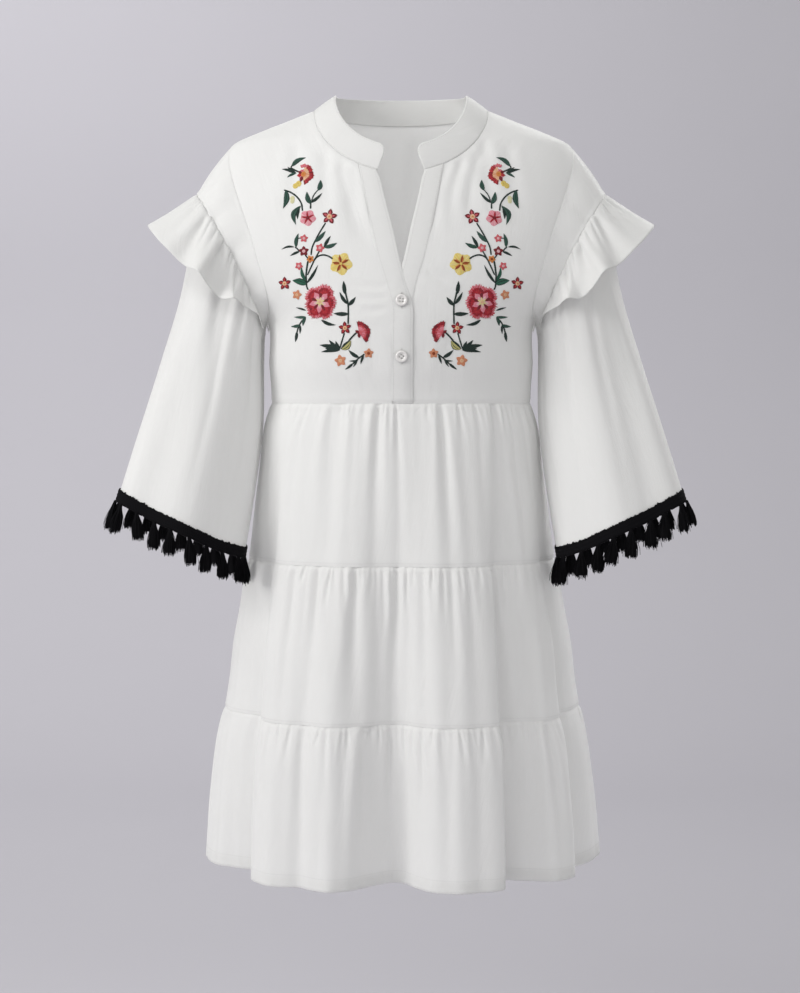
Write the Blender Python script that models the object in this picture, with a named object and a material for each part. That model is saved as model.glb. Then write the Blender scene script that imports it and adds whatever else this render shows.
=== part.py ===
"""A tiered peasant dress, hollow as if worn: band collar, open V placket with two buttons, bell sleeves
with a gathered flounce and tassel braid, and a three-tier gathered skirt. Metres, +Z up, front towards -Y.

The origin is on the neck's axis, level with the points where the shoulder seams meet the collar. Every wall
is a loft: its outer points come from one of the surfaces below, and its inner points lie one wall inside.
"""

import math

import bmesh
import bpy
import numpy as np
from mathutils import Vector

# Cloth
WALL = 0.0012
SEAM_GAP = 0.0003
HALF_GAP = SEAM_GAP / 2
SIDE_GAP_ANGLE = 0.0017

# Levels below the neck point
WAIST_Z = -0.344
TIER_2_Z = -0.526
TIER_3_Z = -0.702
HEM_Z = -0.880
ARMPIT_Z = -0.247
SHOULDER_Z = -0.0425

# The dress as plain sections: height, half width, depth in front, depth behind, squareness.
BODY = np.array([
    (-0.880, 0.2286, 0.146, 0.150, 0.00),
    (-0.800, 0.2227, 0.144, 0.147, 0.00),
    (-0.747, 0.2160, 0.142, 0.143, 0.00),
    (-0.702, 0.2070, 0.138, 0.137, 0.00),
    (-0.670, 0.2020, 0.137, 0.134, 0.00),
    (-0.623, 0.1970, 0.135, 0.129, 0.00),
    (-0.576, 0.1880, 0.132, 0.123, 0.00),
    (-0.526, 0.1795, 0.127, 0.116, 0.00),
    (-0.458, 0.1715, 0.121, 0.107, 0.02),
    (-0.412, 0.1650, 0.115, 0.099, 0.04),
    (-0.376, 0.1600, 0.109, 0.091, 0.07),
    (-0.344, 0.1530, 0.104, 0.084, 0.10),
    (-0.300, 0.1550, 0.113, 0.089, 0.12),
    (-0.247, 0.1580, 0.119, 0.096, 0.14),
    (-0.200, 0.1930, 0.115, 0.102, 0.14),
    (-0.147, 0.2140, 0.105, 0.104, 0.14),
    (-0.100, 0.2190, 0.093, 0.100, 0.12),
    (-0.064, 0.2120, 0.081, 0.092, 0.10),
    (-0.048, 0.2045, 0.074, 0.087, 0.10),
    (-0.039, 0.1965, 0.070, 0.084, 0.10),
    (-0.027, 0.1705, 0.064, 0.080, 0.10),
    (-0.015, 0.1400, 0.058, 0.076, 0.10),
    (0.000, 0.1020, 0.052, 0.072, 0.10),
])

# Neckline, as a rounded outline in front and a shallow curve behind
NECK_HALF_WIDTH = 0.102
NECK_DROP_FRONT = 0.082
NECK_DROP_BACK = 0.0067
NECK_ROUNDNESS = 2.0

# Collar: angle round the neck from the back, and the way it stands: across, back and up
COLLAR_HEIGHT = 0.031
COLLAR_CORNER = 0.014
COLLAR_GAP = 0.0005
COLLAR_RISE = np.array([
    (0, 0.00, -0.26, 0.965),
    (45, -0.40, -0.22, 0.860),
    (75, -0.72, -0.06, 0.660),
    (90, -0.80, 0.00, 0.585),
    (110, -0.78, 0.06, 0.600),
    (130, -0.70, 0.10, 0.700),
    (150, -0.50, 0.12, 0.850),
    (180, -0.25, 0.10, 0.950),
])

# Front bands: height, x of the seam and of the free edge, wearer's right (on top) and then left
BANDS = np.array([
    (-0.344, -0.0115, 0.0130, 0.0143, -0.0106),
    (-0.328, -0.0115, 0.0130, 0.0143, -0.0106),
    (-0.312, -0.0115, 0.0130, 0.0143, -0.0106),
    (-0.296, -0.0115, 0.0130, 0.0143, -0.0106),
    (-0.279, -0.0115, 0.0130, 0.0143, -0.0106),
    (-0.262, -0.0115, 0.0130, 0.0143, -0.0106),
    (-0.236, -0.0116, 0.0128, 0.0143, -0.0106),
    (-0.211, -0.0175, 0.0056, 0.0180, -0.0046),
    (-0.182, -0.0265, -0.0022, 0.0268, 0.0034),
    (-0.146, -0.0350, -0.0100, 0.0350, 0.0112),
    (-0.110, -0.0425, -0.0192, 0.0420, 0.0197),
    (-0.0719, -0.0490, -0.0285, 0.0490, 0.0270),
])
BAND_LIFT = WALL + SEAM_GAP

# Armhole: angle round it from the shoulder, half distance between the two armholes in front, height
ARMHOLE = np.array([
    (0, 0.2000, -0.0425),
    (15, 0.2012, -0.0460),
    (30, 0.2012, -0.0567),
    (45, 0.1985, -0.0735),
    (60, 0.1922, -0.0945),
    (90, 0.1745, -0.1450),
    (120, 0.1595, -0.1960),
    (135, 0.1538, -0.2170),
    (150, 0.1520, -0.2335),
    (165, 0.1545, -0.2437),
    (180, 0.1580, -0.2470),
])
ARMHOLE_BACK_EASE = 0.004
ARMHOLE_STEPS = np.array([0, 11, 24, 38, 52, 66, 80, 94, 108, 122, 136, 150, 162, 172, 180])
SIDE_SEAM_ROWS = (-0.300, -0.270)

# Sleeve rings: place along the sleeve, inner point x and z, outer point x and z, half depth, centre y, bow
SLEEVE = np.array([
    (0.16, 0.1600, -0.2570, 0.2400, -0.0980, 0.0600, -0.002, 0.008),
    (0.40, 0.1600, -0.3050, 0.2582, -0.2130, 0.0600, -0.008, 0.002),
    (0.60, 0.1605, -0.3700, 0.2802, -0.2930, 0.0580, -0.018, 0.000),
    (0.80, 0.1690, -0.4450, 0.3014, -0.3700, 0.0550, -0.038, 0.000),
    (1.00, 0.1800, -0.5195, 0.3238, -0.4540, 0.0520, -0.061, 0.000),
])
SEAM_AT = 0.16
SLEEVE_ROWS = (0.16, 0.28, 0.42, 0.60, 0.80, 1.00)
SLEEVE_FOLDS = np.array([
    (-180, 0.0),
    (-150, 0.002),
    (-112, -0.004),
    (-70, 0.003),
    (-35, -0.002),
    (0, 0.0),
    (32, 0.003),
    (62, -0.004),
    (95, 0.003),
    (128, -0.003),
    (155, 0.001),
    (180, 0.0),
])

# Flounce: angle round the sleeve, width, flare away from the sleeve
FLOUNCE = np.array([
    (0, 0.066, math.radians(49)),
    (20, 0.069, math.radians(39)),
    (40, 0.071, math.radians(33)),
    (60, 0.068, math.radians(31)),
    (80, 0.060, math.radians(28)),
    (92, 0.053, math.radians(26)),
    (105, 0.038, math.radians(24)),
    (120, 0.022, math.radians(22)),
    (140, 0.013, math.radians(20)),
    (156, 0.009, math.radians(16)),
])
FLOUNCE_END = 156
FLOUNCE_LIFT = WALL + 0.0007
FLOUNCE_ROWS = (0.0, 0.30, 0.65, 1.0)
FLOUNCE_COLUMNS = 52

# Flounce waves at its free edge: angle round the sleeve, movement out
FLOUNCE_WAVES = np.array([
    (-156, 0.000),
    (-145, 0.002),
    (-128, -0.004),
    (-110, 0.006),
    (-94, -0.009),
    (-76, 0.007),
    (-58, -0.008),
    (-38, 0.006),
    (-20, -0.005),
    (0, 0.001),
    (22, 0.006),
    (36, 0.004),
    (56, -0.007),
    (72, 0.007),
    (86, -0.013),
    (101, 0.008),
    (114, -0.002),
    (130, 0.004),
    (145, 0.000),
    (156, 0.000),
])

# Gathers sewn into the top of each tier, all round
TIER_GATHERS = (42, 50, 58)
GATHER_DEPTH = 0.0030

# Skirt folds at the hem: angle from the front, movement out, movement round towards the wearer's left.
FOLDS = np.array([
    (-90, 0.000, 0.000),
    (-76, -0.010, 0.000),
    (-64, -0.024, -0.006),
    (-55, -0.036, 0.006),
    (-47, -0.006, -0.007),
    (-39, 0.010, -0.004),
    (-29, 0.004, 0.000),
    (-20, 0.013, 0.000),
    (-12, -0.006, 0.002),
    (-5, -0.034, 0.000),
    (1, -0.034, 0.000),
    (6, -0.008, -0.003),
    (12, 0.013, -0.002),
    (20, 0.016, 0.002),
    (27, 0.008, 0.009),
    (32, -0.026, -0.004),
    (40, -0.012, 0.000),
    (49, 0.009, 0.002),
    (57, 0.002, 0.006),
    (63, -0.024, -0.003),
    (74, -0.014, 0.000),
    (90, 0.000, 0.000),
    (103, 0.012, 0.000),
    (115, -0.018, 0.000),
    (127, 0.012, 0.003),
    (137, 0.010, 0.005),
    (147, -0.026, -0.003),
    (160, 0.014, 0.000),
    (171, 0.008, -0.004),
    (181, -0.028, 0.003),
    (194, 0.013, 0.000),
    (206, 0.012, 0.005),
    (216, -0.024, -0.003),
    (229, 0.013, 0.000),
    (241, 0.008, -0.003),
    (252, -0.018, 0.000),
    (262, 0.004, 0.000),
    (270, 0.000, 0.000),
])
FOLD_GROWTH = np.array([
    (0.000, 0.00),
    (0.170, 0.10),
    (0.340, 0.26),
    (0.670, 0.62),
    (1.000, 1.00),
])
FOLD_DRIFT = math.radians(8)

# Tassel braid on each cuff
BRAID_FROM = 0.971
BRAID_LIFT = 0.0007
BRAID_WALL = 0.0016
TASSELS = 19
TASSEL_ROOT = 0.0026
TASSEL_RINGS = ((0.0036, 0.0013), (0.0075, 0.0012), (0.0105, 0.0032), (0.0160, 0.0037))
STRANDS = 6
STRAND_LENGTH = 0.0235
STRAND_SPREAD = 0.0062
STRAND_SIZE = 0.0017

# Buttons: level and x on the upper band
BUTTON_RADIUS = 0.0068
BUTTON_THICKNESS = 0.0024
BUTTON_LEVELS = (-0.229, -0.291)
BUTTON_X = 0.0006
BUTTON_SIDES = 20


def through(at, places, values):
    """Values of a smooth curve through a table's points, which may be numbers or whole rings."""
    slopes = np.gradient(values, places, axis=0)
    at = np.clip(at, places[0], places[-1])
    i = np.clip(np.searchsorted(places, at, side="right") - 1, 0, len(places) - 2)
    span = places[i + 1] - places[i]
    t = (at - places[i]) / span
    for _ in range(np.ndim(values) - 1):
        span, t = span[..., None], t[..., None]
    start, end = values[i], values[i + 1]
    rise, fall = slopes[i] * span, slopes[i + 1] * span
    return (
        start * (1 + 2 * t) * (1 - t) ** 2
        + rise * t * (1 - t) ** 2
        + end * t**2 * (3 - 2 * t)
        + fall * t**2 * (t - 1)
    )


def ease(t):
    """A smooth step from 0 to 1."""
    t = np.clip(t, 0, 1)
    return t * t * (3 - 2 * t)


def unit(v):
    return v / np.linalg.norm(v, axis=-1, keepdims=True)


def point(x, y, z):
    return np.stack(np.broadcast_arrays(x, y, z), axis=-1)


def normals(surface, u, v, step=1e-4):
    """Outward unit normals of a surface of two variables."""
    along = surface(u + step, v) - surface(u - step, v)
    down = surface(u, v + step) - surface(u, v - step)
    return unit(np.cross(along, down))


# The body


def half_width(z):
    return through(z, BODY[:, 0], BODY[:, 1])


def body(angle, z):
    """A point on the dress without folds. The angle is 0 in front and grows towards the wearer's left."""
    front = through(z, BODY[:, 0], BODY[:, 2])
    back = through(z, BODY[:, 0], BODY[:, 3])
    depth = np.where(np.cos(angle) > 0, front, back)
    square = 1 + through(z, BODY[:, 0], BODY[:, 4]) * np.sin(angle) ** 2
    return point(half_width(z) * np.sin(angle), -depth * square * np.cos(angle), z)


def body_normal(angle, z):
    return normals(body, angle, z)


def angle_at(x, z):
    """The angle in front at which the body is x from the middle."""
    return np.arcsin(np.clip(x / half_width(z), -1, 1))


def fold_offsets(angle, z):
    """How far the skirt's folds move a point out and round, at this angle and height."""
    down = (WAIST_Z - z) / (WAIST_Z - HEM_Z)
    drifted = angle - FOLD_DRIFT * np.sin(2 * angle) * (1 - np.clip(down, 0, 1))
    degrees = (np.degrees(drifted) + 90) % 360 - 90
    grown = through(down, FOLD_GROWTH[:, 0], FOLD_GROWTH[:, 1])
    out = through(degrees, FOLDS[:, 0], FOLDS[:, 1])
    around = through(degrees, FOLDS[:, 0], FOLDS[:, 2])
    return out * grown, around * grown


def skirt(angle, z):
    """A point on the skirt with its folds, level by level."""
    base = body(angle, z)
    side = unit(body(angle + 1e-3, z) - body(angle - 1e-3, z))
    out = np.stack([side[..., 1], -side[..., 0], side[..., 2] * 0], axis=-1)
    away, around = fold_offsets(angle, z)
    return base + out * away[..., None] + side * around[..., None]


# Walls


def new_part(name, mesh, material):
    mesh.materials.append(material)
    obj = bpy.data.objects.new(name, mesh)
    DRESS.objects.link(obj)
    return obj


def wall(name, points, inward, material, closed=False, thickness=WALL):
    """A closed cloth wall: rows of outer points, and inner points one thickness along inward."""
    rows, columns = points.shape[:2]
    mesh = bpy.data.meshes.new(name)
    bm = bmesh.new()
    outer = [[bm.verts.new(p) for p in row] for row in points]
    inner = [[bm.verts.new(p) for p in row] for row in points + inward * thickness]
    last = columns if closed else columns - 1
    for i in range(rows - 1):
        for j in range(last):
            k = (j + 1) % columns
            bm.faces.new((outer[i][j], outer[i][k], outer[i + 1][k], outer[i + 1][j]))
            bm.faces.new((inner[i][j], inner[i + 1][j], inner[i + 1][k], inner[i][k]))
    for j in range(last):
        k = (j + 1) % columns
        bm.faces.new((outer[0][k], outer[0][j], inner[0][j], inner[0][k]))
        bm.faces.new((outer[-1][j], outer[-1][k], inner[-1][k], inner[-1][j]))
    if not closed:
        for i in range(rows - 1):
            bm.faces.new((outer[i][0], outer[i + 1][0], inner[i + 1][0], inner[i][0]))
            bm.faces.new((outer[i + 1][-1], outer[i][-1], inner[i][-1], inner[i + 1][-1]))
    bmesh.ops.recalc_face_normals(bm, faces=bm.faces)
    bm.to_mesh(mesh)
    bm.free()
    mesh.shade_smooth()
    mesh.set_sharp_from_angle(angle=math.radians(50))
    return new_part(name, mesh, material)


# Skirt


def tier(name, top, bottom, gathers, start, end, material):
    """Half of one gathered tier, from the start angle to the end angle."""
    count = gathers + 1
    angles = np.linspace(start, end, count)
    edge = SIDE_GAP_ANGLE
    angles[0] += edge
    angles[-1] -= edge
    length = top - bottom
    drops = np.array([0.0, 0.010, 0.042, 0.105, length - SEAM_GAP])
    fade = np.array([0.35, 1.0, 0.65, 0.20, 0.0])
    heights = top - HALF_GAP - drops
    angle, z = np.meshgrid(angles, heights)
    points = skirt(angle, z)
    side = unit(skirt(angle + 1e-3, z) - skirt(angle - 1e-3, z))
    out = np.stack([side[..., 1], -side[..., 0], side[..., 2] * 0], axis=-1)
    crest = np.where(np.arange(count) % 2 == 0, 0.0, 1.0)
    uneven = 0.75 + 0.25 * np.sin(np.arange(count) * 2.4)
    points = points + out * (fade[:, None] * crest * uneven * GATHER_DEPTH)[..., None]
    return wall(name, points, -out, material)


def build_skirt(material):
    levels = (WAIST_Z, TIER_2_Z, TIER_3_Z, HEM_Z)
    for i, gathers in enumerate(TIER_GATHERS):
        for side, start in (("front", -math.pi / 2), ("back", math.pi / 2)):
            name = f"skirt_tier_{i + 1}_{side}"
            tier(name, levels[i], levels[i + 1], gathers, start, start + math.pi, material)


# Bodice. Its panels are patches in angle and height, between four edges that are lists of (angle, height).


def armhole(turn, side):
    """Points of the armhole on the wearer's left as angle and height. The side is 1 in front, -1 behind."""
    x = through(turn, ARMHOLE[:, 0], ARMHOLE[:, 1])
    z = through(turn, ARMHOLE[:, 0], ARMHOLE[:, 2])
    if side < 0:
        x = x + ARMHOLE_BACK_EASE * np.sin(np.radians(turn))
    angle = angle_at(x, z)
    angle = np.where((turn == 0) | (turn == 180), math.pi / 2, angle)
    return (angle if side > 0 else math.pi - angle), z


def neckline(turn):
    """The neckline on the wearer's left, from 0 at the shoulder seam to 90 degrees at the front."""
    x = NECK_HALF_WIDTH * np.cos(np.radians(turn)) ** (2 / NECK_ROUNDNESS)
    z = -NECK_DROP_FRONT * np.sin(np.radians(turn)) ** (2 / NECK_ROUNDNESS)
    angle = np.where(turn == 0, math.pi / 2, angle_at(x, z))
    return angle, z


def back_neckline(share):
    """The neckline behind, from 0 at the shoulder seam to 1 at the middle of the back."""
    return math.pi / 2 * (1 + share), -NECK_DROP_BACK * ease(share)


def edge(angles, heights):
    return np.stack(np.broadcast_arrays(angles, heights), axis=-1).astype(float)


def outer_edge(side):
    """Side seam and armhole from the waist to the shoulder, half a gap inside the seam."""
    turns = ARMHOLE_STEPS[::-1].astype(float)
    angle, z = armhole(turns, side)
    heights = np.concatenate([[WAIST_Z + HALF_GAP], SIDE_SEAM_ROWS, z])
    angles = np.concatenate([[math.pi / 2] * (1 + len(SIDE_SEAM_ROWS)), angle])
    return edge(angles - side * SIDE_GAP_ANGLE, heights)


def neck_turns():
    """Seven places on the neckline between the band's seam and the shoulder."""
    start = math.degrees(math.acos((BANDS[-1, 3] / NECK_HALF_WIDTH) ** (NECK_ROUNDNESS / 2)))
    return np.array([start, start * 0.86, start * 0.70, start * 0.53, start * 0.36, start * 0.19, 0.0])


def band_rows():
    """Heights of the rows that the bands and the panels share."""
    rows = BANDS[:, 0].copy()
    rows[0] = WAIST_Z + HALF_GAP
    return rows


def band_edge(column, z):
    return through(z, BANDS[:, 0], BANDS[:, column])


def inner_edge_front():
    """Band seam and neckline on the wearer's left, from the waist to the shoulder seam."""
    z = band_rows()
    x = band_edge(3, z) + HALF_GAP
    angle, height = neckline(neck_turns()[1:])
    angle[-1] -= SIDE_GAP_ANGLE
    return edge(np.concatenate([angle_at(x, z), angle]), np.concatenate([z, height]))


def patch(start, end, top):
    """A patch ruled between its start and end edges, bent towards the top edge as it nears it."""
    u = np.linspace(0, 1, len(top))[None, :, None]
    v = np.linspace(0, 1, len(start))[:, None, None]
    across = (1 - u) * start[:, None] + u * end[:, None]
    return across + v**3 * (top[None] - across[-1])


def straight(a, b, count):
    return a + (b - a) * np.linspace(0, 1, count)[:, None]


def mirrored(points):
    return points * np.array((-1, 1, 1))


def level(vectors):
    """The same vectors without their height, as units."""
    return unit(vectors * np.array((1, 1, 0)))


def panel_wall(name, grid, material, mirror=False):
    angle, z = grid[..., 0], grid[..., 1]
    points = body(angle, z)
    inward = -body_normal(angle, z)
    inward[0] = level(inward[0])
    if mirror:
        points, inward = mirrored(points), mirrored(inward)
    return wall(name, points, inward, material)


def build_panels(material):
    columns = 7
    start, end = inner_edge_front(), outer_edge(1)
    front = patch(start, end, straight(start[-1], end[-1], columns))
    panel_wall("front_left", front, material)
    panel_wall("front_right", front, material, mirror=True)

    left = outer_edge(-1)
    right = np.stack([2 * math.pi - left[:, 0], left[:, 1]], axis=-1)
    seam = straight(left[-1], np.array([math.pi / 2 + SIDE_GAP_ANGLE, 0.0]), 4)
    angle, z = back_neckline(np.linspace(0, 1, 6))
    half = np.concatenate([seam[:-1], edge(angle, z)])
    half[3, 0] += SIDE_GAP_ANGLE
    other = np.stack([2 * math.pi - half[::-1, 0], half[::-1, 1]], axis=-1)
    top = np.concatenate([half, other[1:]])
    panel_wall("back", patch(left, right, top), material)


def build_bands(material):
    z = band_rows()
    for name, seam, free, lift in (("placket_right", 1, 2, BAND_LIFT), ("placket_left", 3, 4, 0.0)):
        side = math.copysign(HALF_GAP, BANDS[0, seam])
        first = band_edge(seam, z) - side
        last = band_edge(free, z)
        share = np.linspace(0, 1, 4)
        x = first[:, None] + (last - first)[:, None] * share
        heights = np.broadcast_to(z[:, None], x.shape).copy()
        neck = -NECK_DROP_FRONT * (1 - np.abs(x[-1] / NECK_HALF_WIDTH) ** NECK_ROUNDNESS) ** (1 / NECK_ROUNDNESS)
        heights[-1] = neck - HALF_GAP
        angle = angle_at(x, heights)
        normal = body_normal(angle, heights)
        inward = -normal
        inward[0] = level(inward[0])
        wall(name, body(angle, heights) + normal * lift, inward, material)


def collar_path():
    """The neckline round the whole neck as angle and height, from the wearer's left front to the right."""
    x = np.linspace(BANDS[-1, 4], BANDS[-1, 3], 4)[:-1]
    z = -NECK_DROP_FRONT * (1 - (x / NECK_HALF_WIDTH) ** NECK_ROUNDNESS) ** (1 / NECK_ROUNDNESS)
    band = edge(angle_at(x, z), z)
    front = edge(*neckline(neck_turns()))
    back = edge(*back_neckline(np.linspace(0, 1, 6)))[1:]
    half = np.concatenate([band, front, back])
    other = np.stack([2 * math.pi - half[:-1, 0], half[:-1, 1]], axis=-1)[::-1]
    return np.concatenate([half, other])


def build_collar(material):
    path = collar_path()
    base = body(path[:, 0], path[:, 1])
    normal = body_normal(path[:, 0], path[:, 1])
    out = level(normal)
    from_back = np.degrees(np.abs(np.arctan2(base[:, 0], base[:, 1])))
    rise = unit(through(from_back, COLLAR_RISE[:, 0], COLLAR_RISE[:, 1:]))
    rise[:, 0] *= np.sign(base[:, 0])
    steps = np.linalg.norm(np.diff(base, axis=0), axis=-1)
    along = np.concatenate([[0], np.cumsum(steps)])
    near = np.clip(np.minimum(along, along[-1] - along) / COLLAR_CORNER, 0, 1)
    height = COLLAR_HEIGHT - COLLAR_CORNER * (1 - np.sqrt(1 - (1 - near) ** 2))
    shares = (0.0, 0.34, 0.68, 1.0)
    points = np.stack([base + rise * (COLLAR_GAP + share * height[:, None]) for share in shares])
    tangent = np.gradient(base, axis=0)
    inward = unit(np.cross(tangent, rise))
    inward = inward * np.sign(-(inward * out).sum(axis=-1, keepdims=True))
    wall("collar", points, np.stack([-normal, inward, inward, inward]), material)


# Sleeves, made on the wearer's left. The turn is 0 at the outer side, a quarter in front and a half below.


def sleeve_ring(turn, place):
    """A point on the sleeve without folds."""
    ring = [through(place, SLEEVE[:, 0], SLEEVE[:, i]) for i in range(1, 8)]
    inner_x, inner_z, outer_x, outer_z, depth, middle_y, bow = ring
    along, across = np.cos(turn), np.sin(turn)
    half_x, half_z = (outer_x - inner_x) / 2, (outer_z - inner_z) / 2
    length = np.hypot(half_x, half_z)
    square = 1 + 0.5 * np.where(along < 0, along**2, 0) * (1 - ease((place - SEAM_AT) / 0.5))
    x = inner_x + half_x * (1 + along) - bow * across**2 * half_z / length
    z = inner_z + half_z * (1 + along) + bow * across**2 * half_x / length
    return point(x, middle_y - depth * square * across, z)


def sleeve(turn, place):
    """A point on the sleeve with its soft folds, which grow towards the cuff."""
    base = sleeve_ring(turn, place)
    degrees = (np.degrees(turn) + 180) % 360 - 180
    grown = ease((place - 0.25) / 0.7)
    away = through(degrees, SLEEVE_FOLDS[:, 0], SLEEVE_FOLDS[:, 1]) * grown
    return base + normals(sleeve_ring, turn, place) * away[..., None]


def sleeve_normal(turn, place):
    return normals(sleeve, turn, place)


def cap_start():
    """The armhole as a closed ring of points, the body's normals there, and the turns."""
    turns = np.concatenate([ARMHOLE_STEPS, 360 - ARMHOLE_STEPS[-2:0:-1]]).astype(float)
    front = body(*armhole(np.minimum(turns, 180), 1))
    back = body(*armhole(np.minimum(360 - turns, 180), -1))
    front_normal = body_normal(*armhole(np.minimum(turns, 180), 1))
    back_normal = body_normal(*armhole(np.minimum(360 - turns, 180), -1))
    ahead = (turns <= 180)[:, None]
    return np.where(ahead, front, back), np.where(ahead, front_normal, back_normal), np.radians(turns)


def build_sleeve(side, flip, material):
    start, normal, turns = cap_start()
    seam = sleeve_ring(turns, SEAM_AT)
    seam_normal = sleeve_normal(turns, SEAM_AT + 1e-3)
    way = unit(seam - start)
    tangent = unit(np.roll(start, -1, axis=0) - np.roll(start, 1, axis=0))
    own = unit(np.cross(tangent, way))
    away = unit(np.cross(normal, tangent))
    folded = ease((normal * way).sum(axis=-1, keepdims=True) / 0.3 + 0.5)
    first = start + unit(away * (1 - folded) + normal * folded) * SEAM_GAP
    first_inward = -unit(normal * (1 - folded) + own * folded)
    shares = (0.0, 0.5, 1.0)
    points = np.stack([first + (seam - first) * share for share in shares])
    middle = -unit(own + seam_normal)
    flipped = mirrored if flip else (lambda v: v)
    inward = np.stack([first_inward, middle, -seam_normal])
    wall(f"sleeve_cap_{side}", flipped(points), flipped(inward), material, closed=True)

    turn, place = np.meshgrid(turns, np.array(SLEEVE_ROWS))
    points = sleeve(turn, place)
    tangent = unit(np.roll(seam, -1, axis=0) - np.roll(seam, 1, axis=0))
    points[0] += unit(np.cross(seam_normal, tangent)) * SEAM_GAP
    inward = -sleeve_normal(turn, np.clip(place, SEAM_AT + 1e-3, 1 - 1e-3))
    inward[0] = -seam_normal
    wall(f"sleeve_{side}", flipped(points), flipped(inward), material, closed=True)


def flounce(turn, share):
    """A point on the flounce, from 0 at its seam to 1 at its free edge."""
    degrees = np.degrees(turn)
    width = through(np.abs(degrees), FLOUNCE[:, 0], FLOUNCE[:, 1])
    flare = through(np.abs(degrees), FLOUNCE[:, 0], FLOUNCE[:, 2])
    root = sleeve_ring(turn, SEAM_AT + 0.004)
    out = normals(sleeve_ring, turn, SEAM_AT + 0.004)
    down = unit(sleeve_ring(turn, SEAM_AT + 0.02) - sleeve_ring(turn, SEAM_AT))
    sheet = down * np.cos(flare)[..., None] + out * np.sin(flare)[..., None]
    across = out * np.cos(flare)[..., None] - down * np.sin(flare)[..., None]
    wave = through(degrees, FLOUNCE_WAVES[:, 0], FLOUNCE_WAVES[:, 1]) * np.maximum(share, 0) ** 1.4
    opened = (width * share)[..., None]
    return root + out * FLOUNCE_LIFT + sheet * opened + across * wave[..., None]


def build_flounce(side, flip, material):
    end = math.radians(FLOUNCE_END)
    turns = np.linspace(-end, end, FLOUNCE_COLUMNS)
    turn, share = np.meshgrid(turns, np.array(FLOUNCE_ROWS))
    points = flounce(turn, share)
    inward = -normals(flounce, turn, share)
    inward[0] = -normals(sleeve_ring, turns, SEAM_AT + 0.004)
    flipped = mirrored if flip else (lambda v: v)
    wall(f"sleeve_flounce_{side}", flipped(points), flipped(inward), material)


def cuff_places():
    """Turns round the cuff: three at each tassel and one between, by distance along the edge."""
    turns = np.radians(np.linspace(0, 360, 721))
    edge_points = sleeve(turns, 1.0)
    steps = np.linalg.norm(np.diff(edge_points, axis=0), axis=-1)
    along = np.concatenate([[0], np.cumsum(steps)])
    pitch = along[-1] / TASSELS
    offsets = np.array([-TASSEL_ROOT / 2, 0, TASSEL_ROOT / 2, pitch / 2])
    places = (np.arange(TASSELS)[:, None] + 0.5) * pitch + offsets
    return np.interp(places.ravel(), along, turns)


def hang_tassel(bm, root, number):
    """A tassel on the loop of six points root: neck, head, and strands that share only the head."""
    middle = sum((v.co for v in root), root[0].co * 0) / 6
    along = np.array(root[2].co - root[0].co)
    along = unit(along * np.array((1, 1, 0)))
    out = np.array(root[1].co - root[4].co)
    out = out - along * (out @ along)
    out = unit(out * np.array((1, 1, 0)))
    corners = [math.radians(a) for a in (150, 90, 30, -30, -90, -150)]

    def ring_point(angle, radius, drop):
        flat = along * (math.cos(angle) * radius) + out * (math.sin(angle) * radius)
        return np.array(middle) + flat - np.array((0, 0, drop))

    before = root
    for drop, radius in TASSEL_RINGS:
        ring = [bm.verts.new(ring_point(a, radius, drop)) for a in corners]
        for j in range(6):
            k = (j + 1) % 6
            bm.faces.new((before[j], before[k], ring[k], ring[j]))
        before = ring
    drop = TASSEL_RINGS[-1][0]
    centre = bm.verts.new(ring_point(0, 0, drop))
    for j in range(STRANDS):
        k = (j + 1) % 6
        way = corners[j] - math.radians(30)
        length = STRAND_LENGTH * (1 + 0.10 * math.sin(1.7 * j + 2.3 * number))
        spread = STRAND_SPREAD * (1 + 0.15 * math.sin(2.9 * j + 1.1 * number))
        tip = ring_point(way, spread, drop + length)
        sizes = [ring_point(way + turn, STRAND_SIZE, 0) - np.array(middle) for turn in (math.pi, 0.9, -0.9)]
        inside, left, right = [bm.verts.new(tip + size) for size in sizes]
        bm.faces.new((centre, before[j], left, inside))
        bm.faces.new((before[j], before[k], right, left))
        bm.faces.new((before[k], centre, inside, right))
        bm.faces.new((inside, left, right))


def build_trim(side, flip, material):
    turns = cuff_places()
    count = len(turns)
    rows = np.array([BRAID_FROM, 1.0])
    turn, place = np.meshgrid(turns, rows)
    base = sleeve(turn, place)
    normal = sleeve_normal(turn, np.clip(place, 0, 1 - 1e-3))
    flipped = mirrored if flip else (lambda v: v)
    mesh = bpy.data.meshes.new(f"cuff_trim_{side}")
    bm = bmesh.new()
    outer_points = flipped(base + normal * (BRAID_LIFT + BRAID_WALL))
    inner_points = flipped(base + normal * BRAID_LIFT)
    outer = [[bm.verts.new(p) for p in row] for row in outer_points]
    inner = [[bm.verts.new(p) for p in row] for row in inner_points]
    for j in range(count):
        k = (j + 1) % count
        bm.faces.new((outer[0][j], outer[0][k], outer[1][k], outer[1][j]))
        bm.faces.new((inner[0][j], inner[1][j], inner[1][k], inner[0][k]))
        bm.faces.new((outer[0][k], outer[0][j], inner[0][j], inner[0][k]))
        if j % 4 > 1:
            bm.faces.new((outer[1][j], outer[1][k], inner[1][k], inner[1][j]))
    for i in range(TASSELS):
        a, b, c = 4 * i, 4 * i + 1, 4 * i + 2
        root = [outer[1][a], outer[1][b], outer[1][c], inner[1][c], inner[1][b], inner[1][a]]
        hang_tassel(bm, root, i)
    bmesh.ops.recalc_face_normals(bm, faces=bm.faces)
    bm.to_mesh(mesh)
    bm.free()
    return new_part(f"cuff_trim_{side}", mesh, material)


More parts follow.
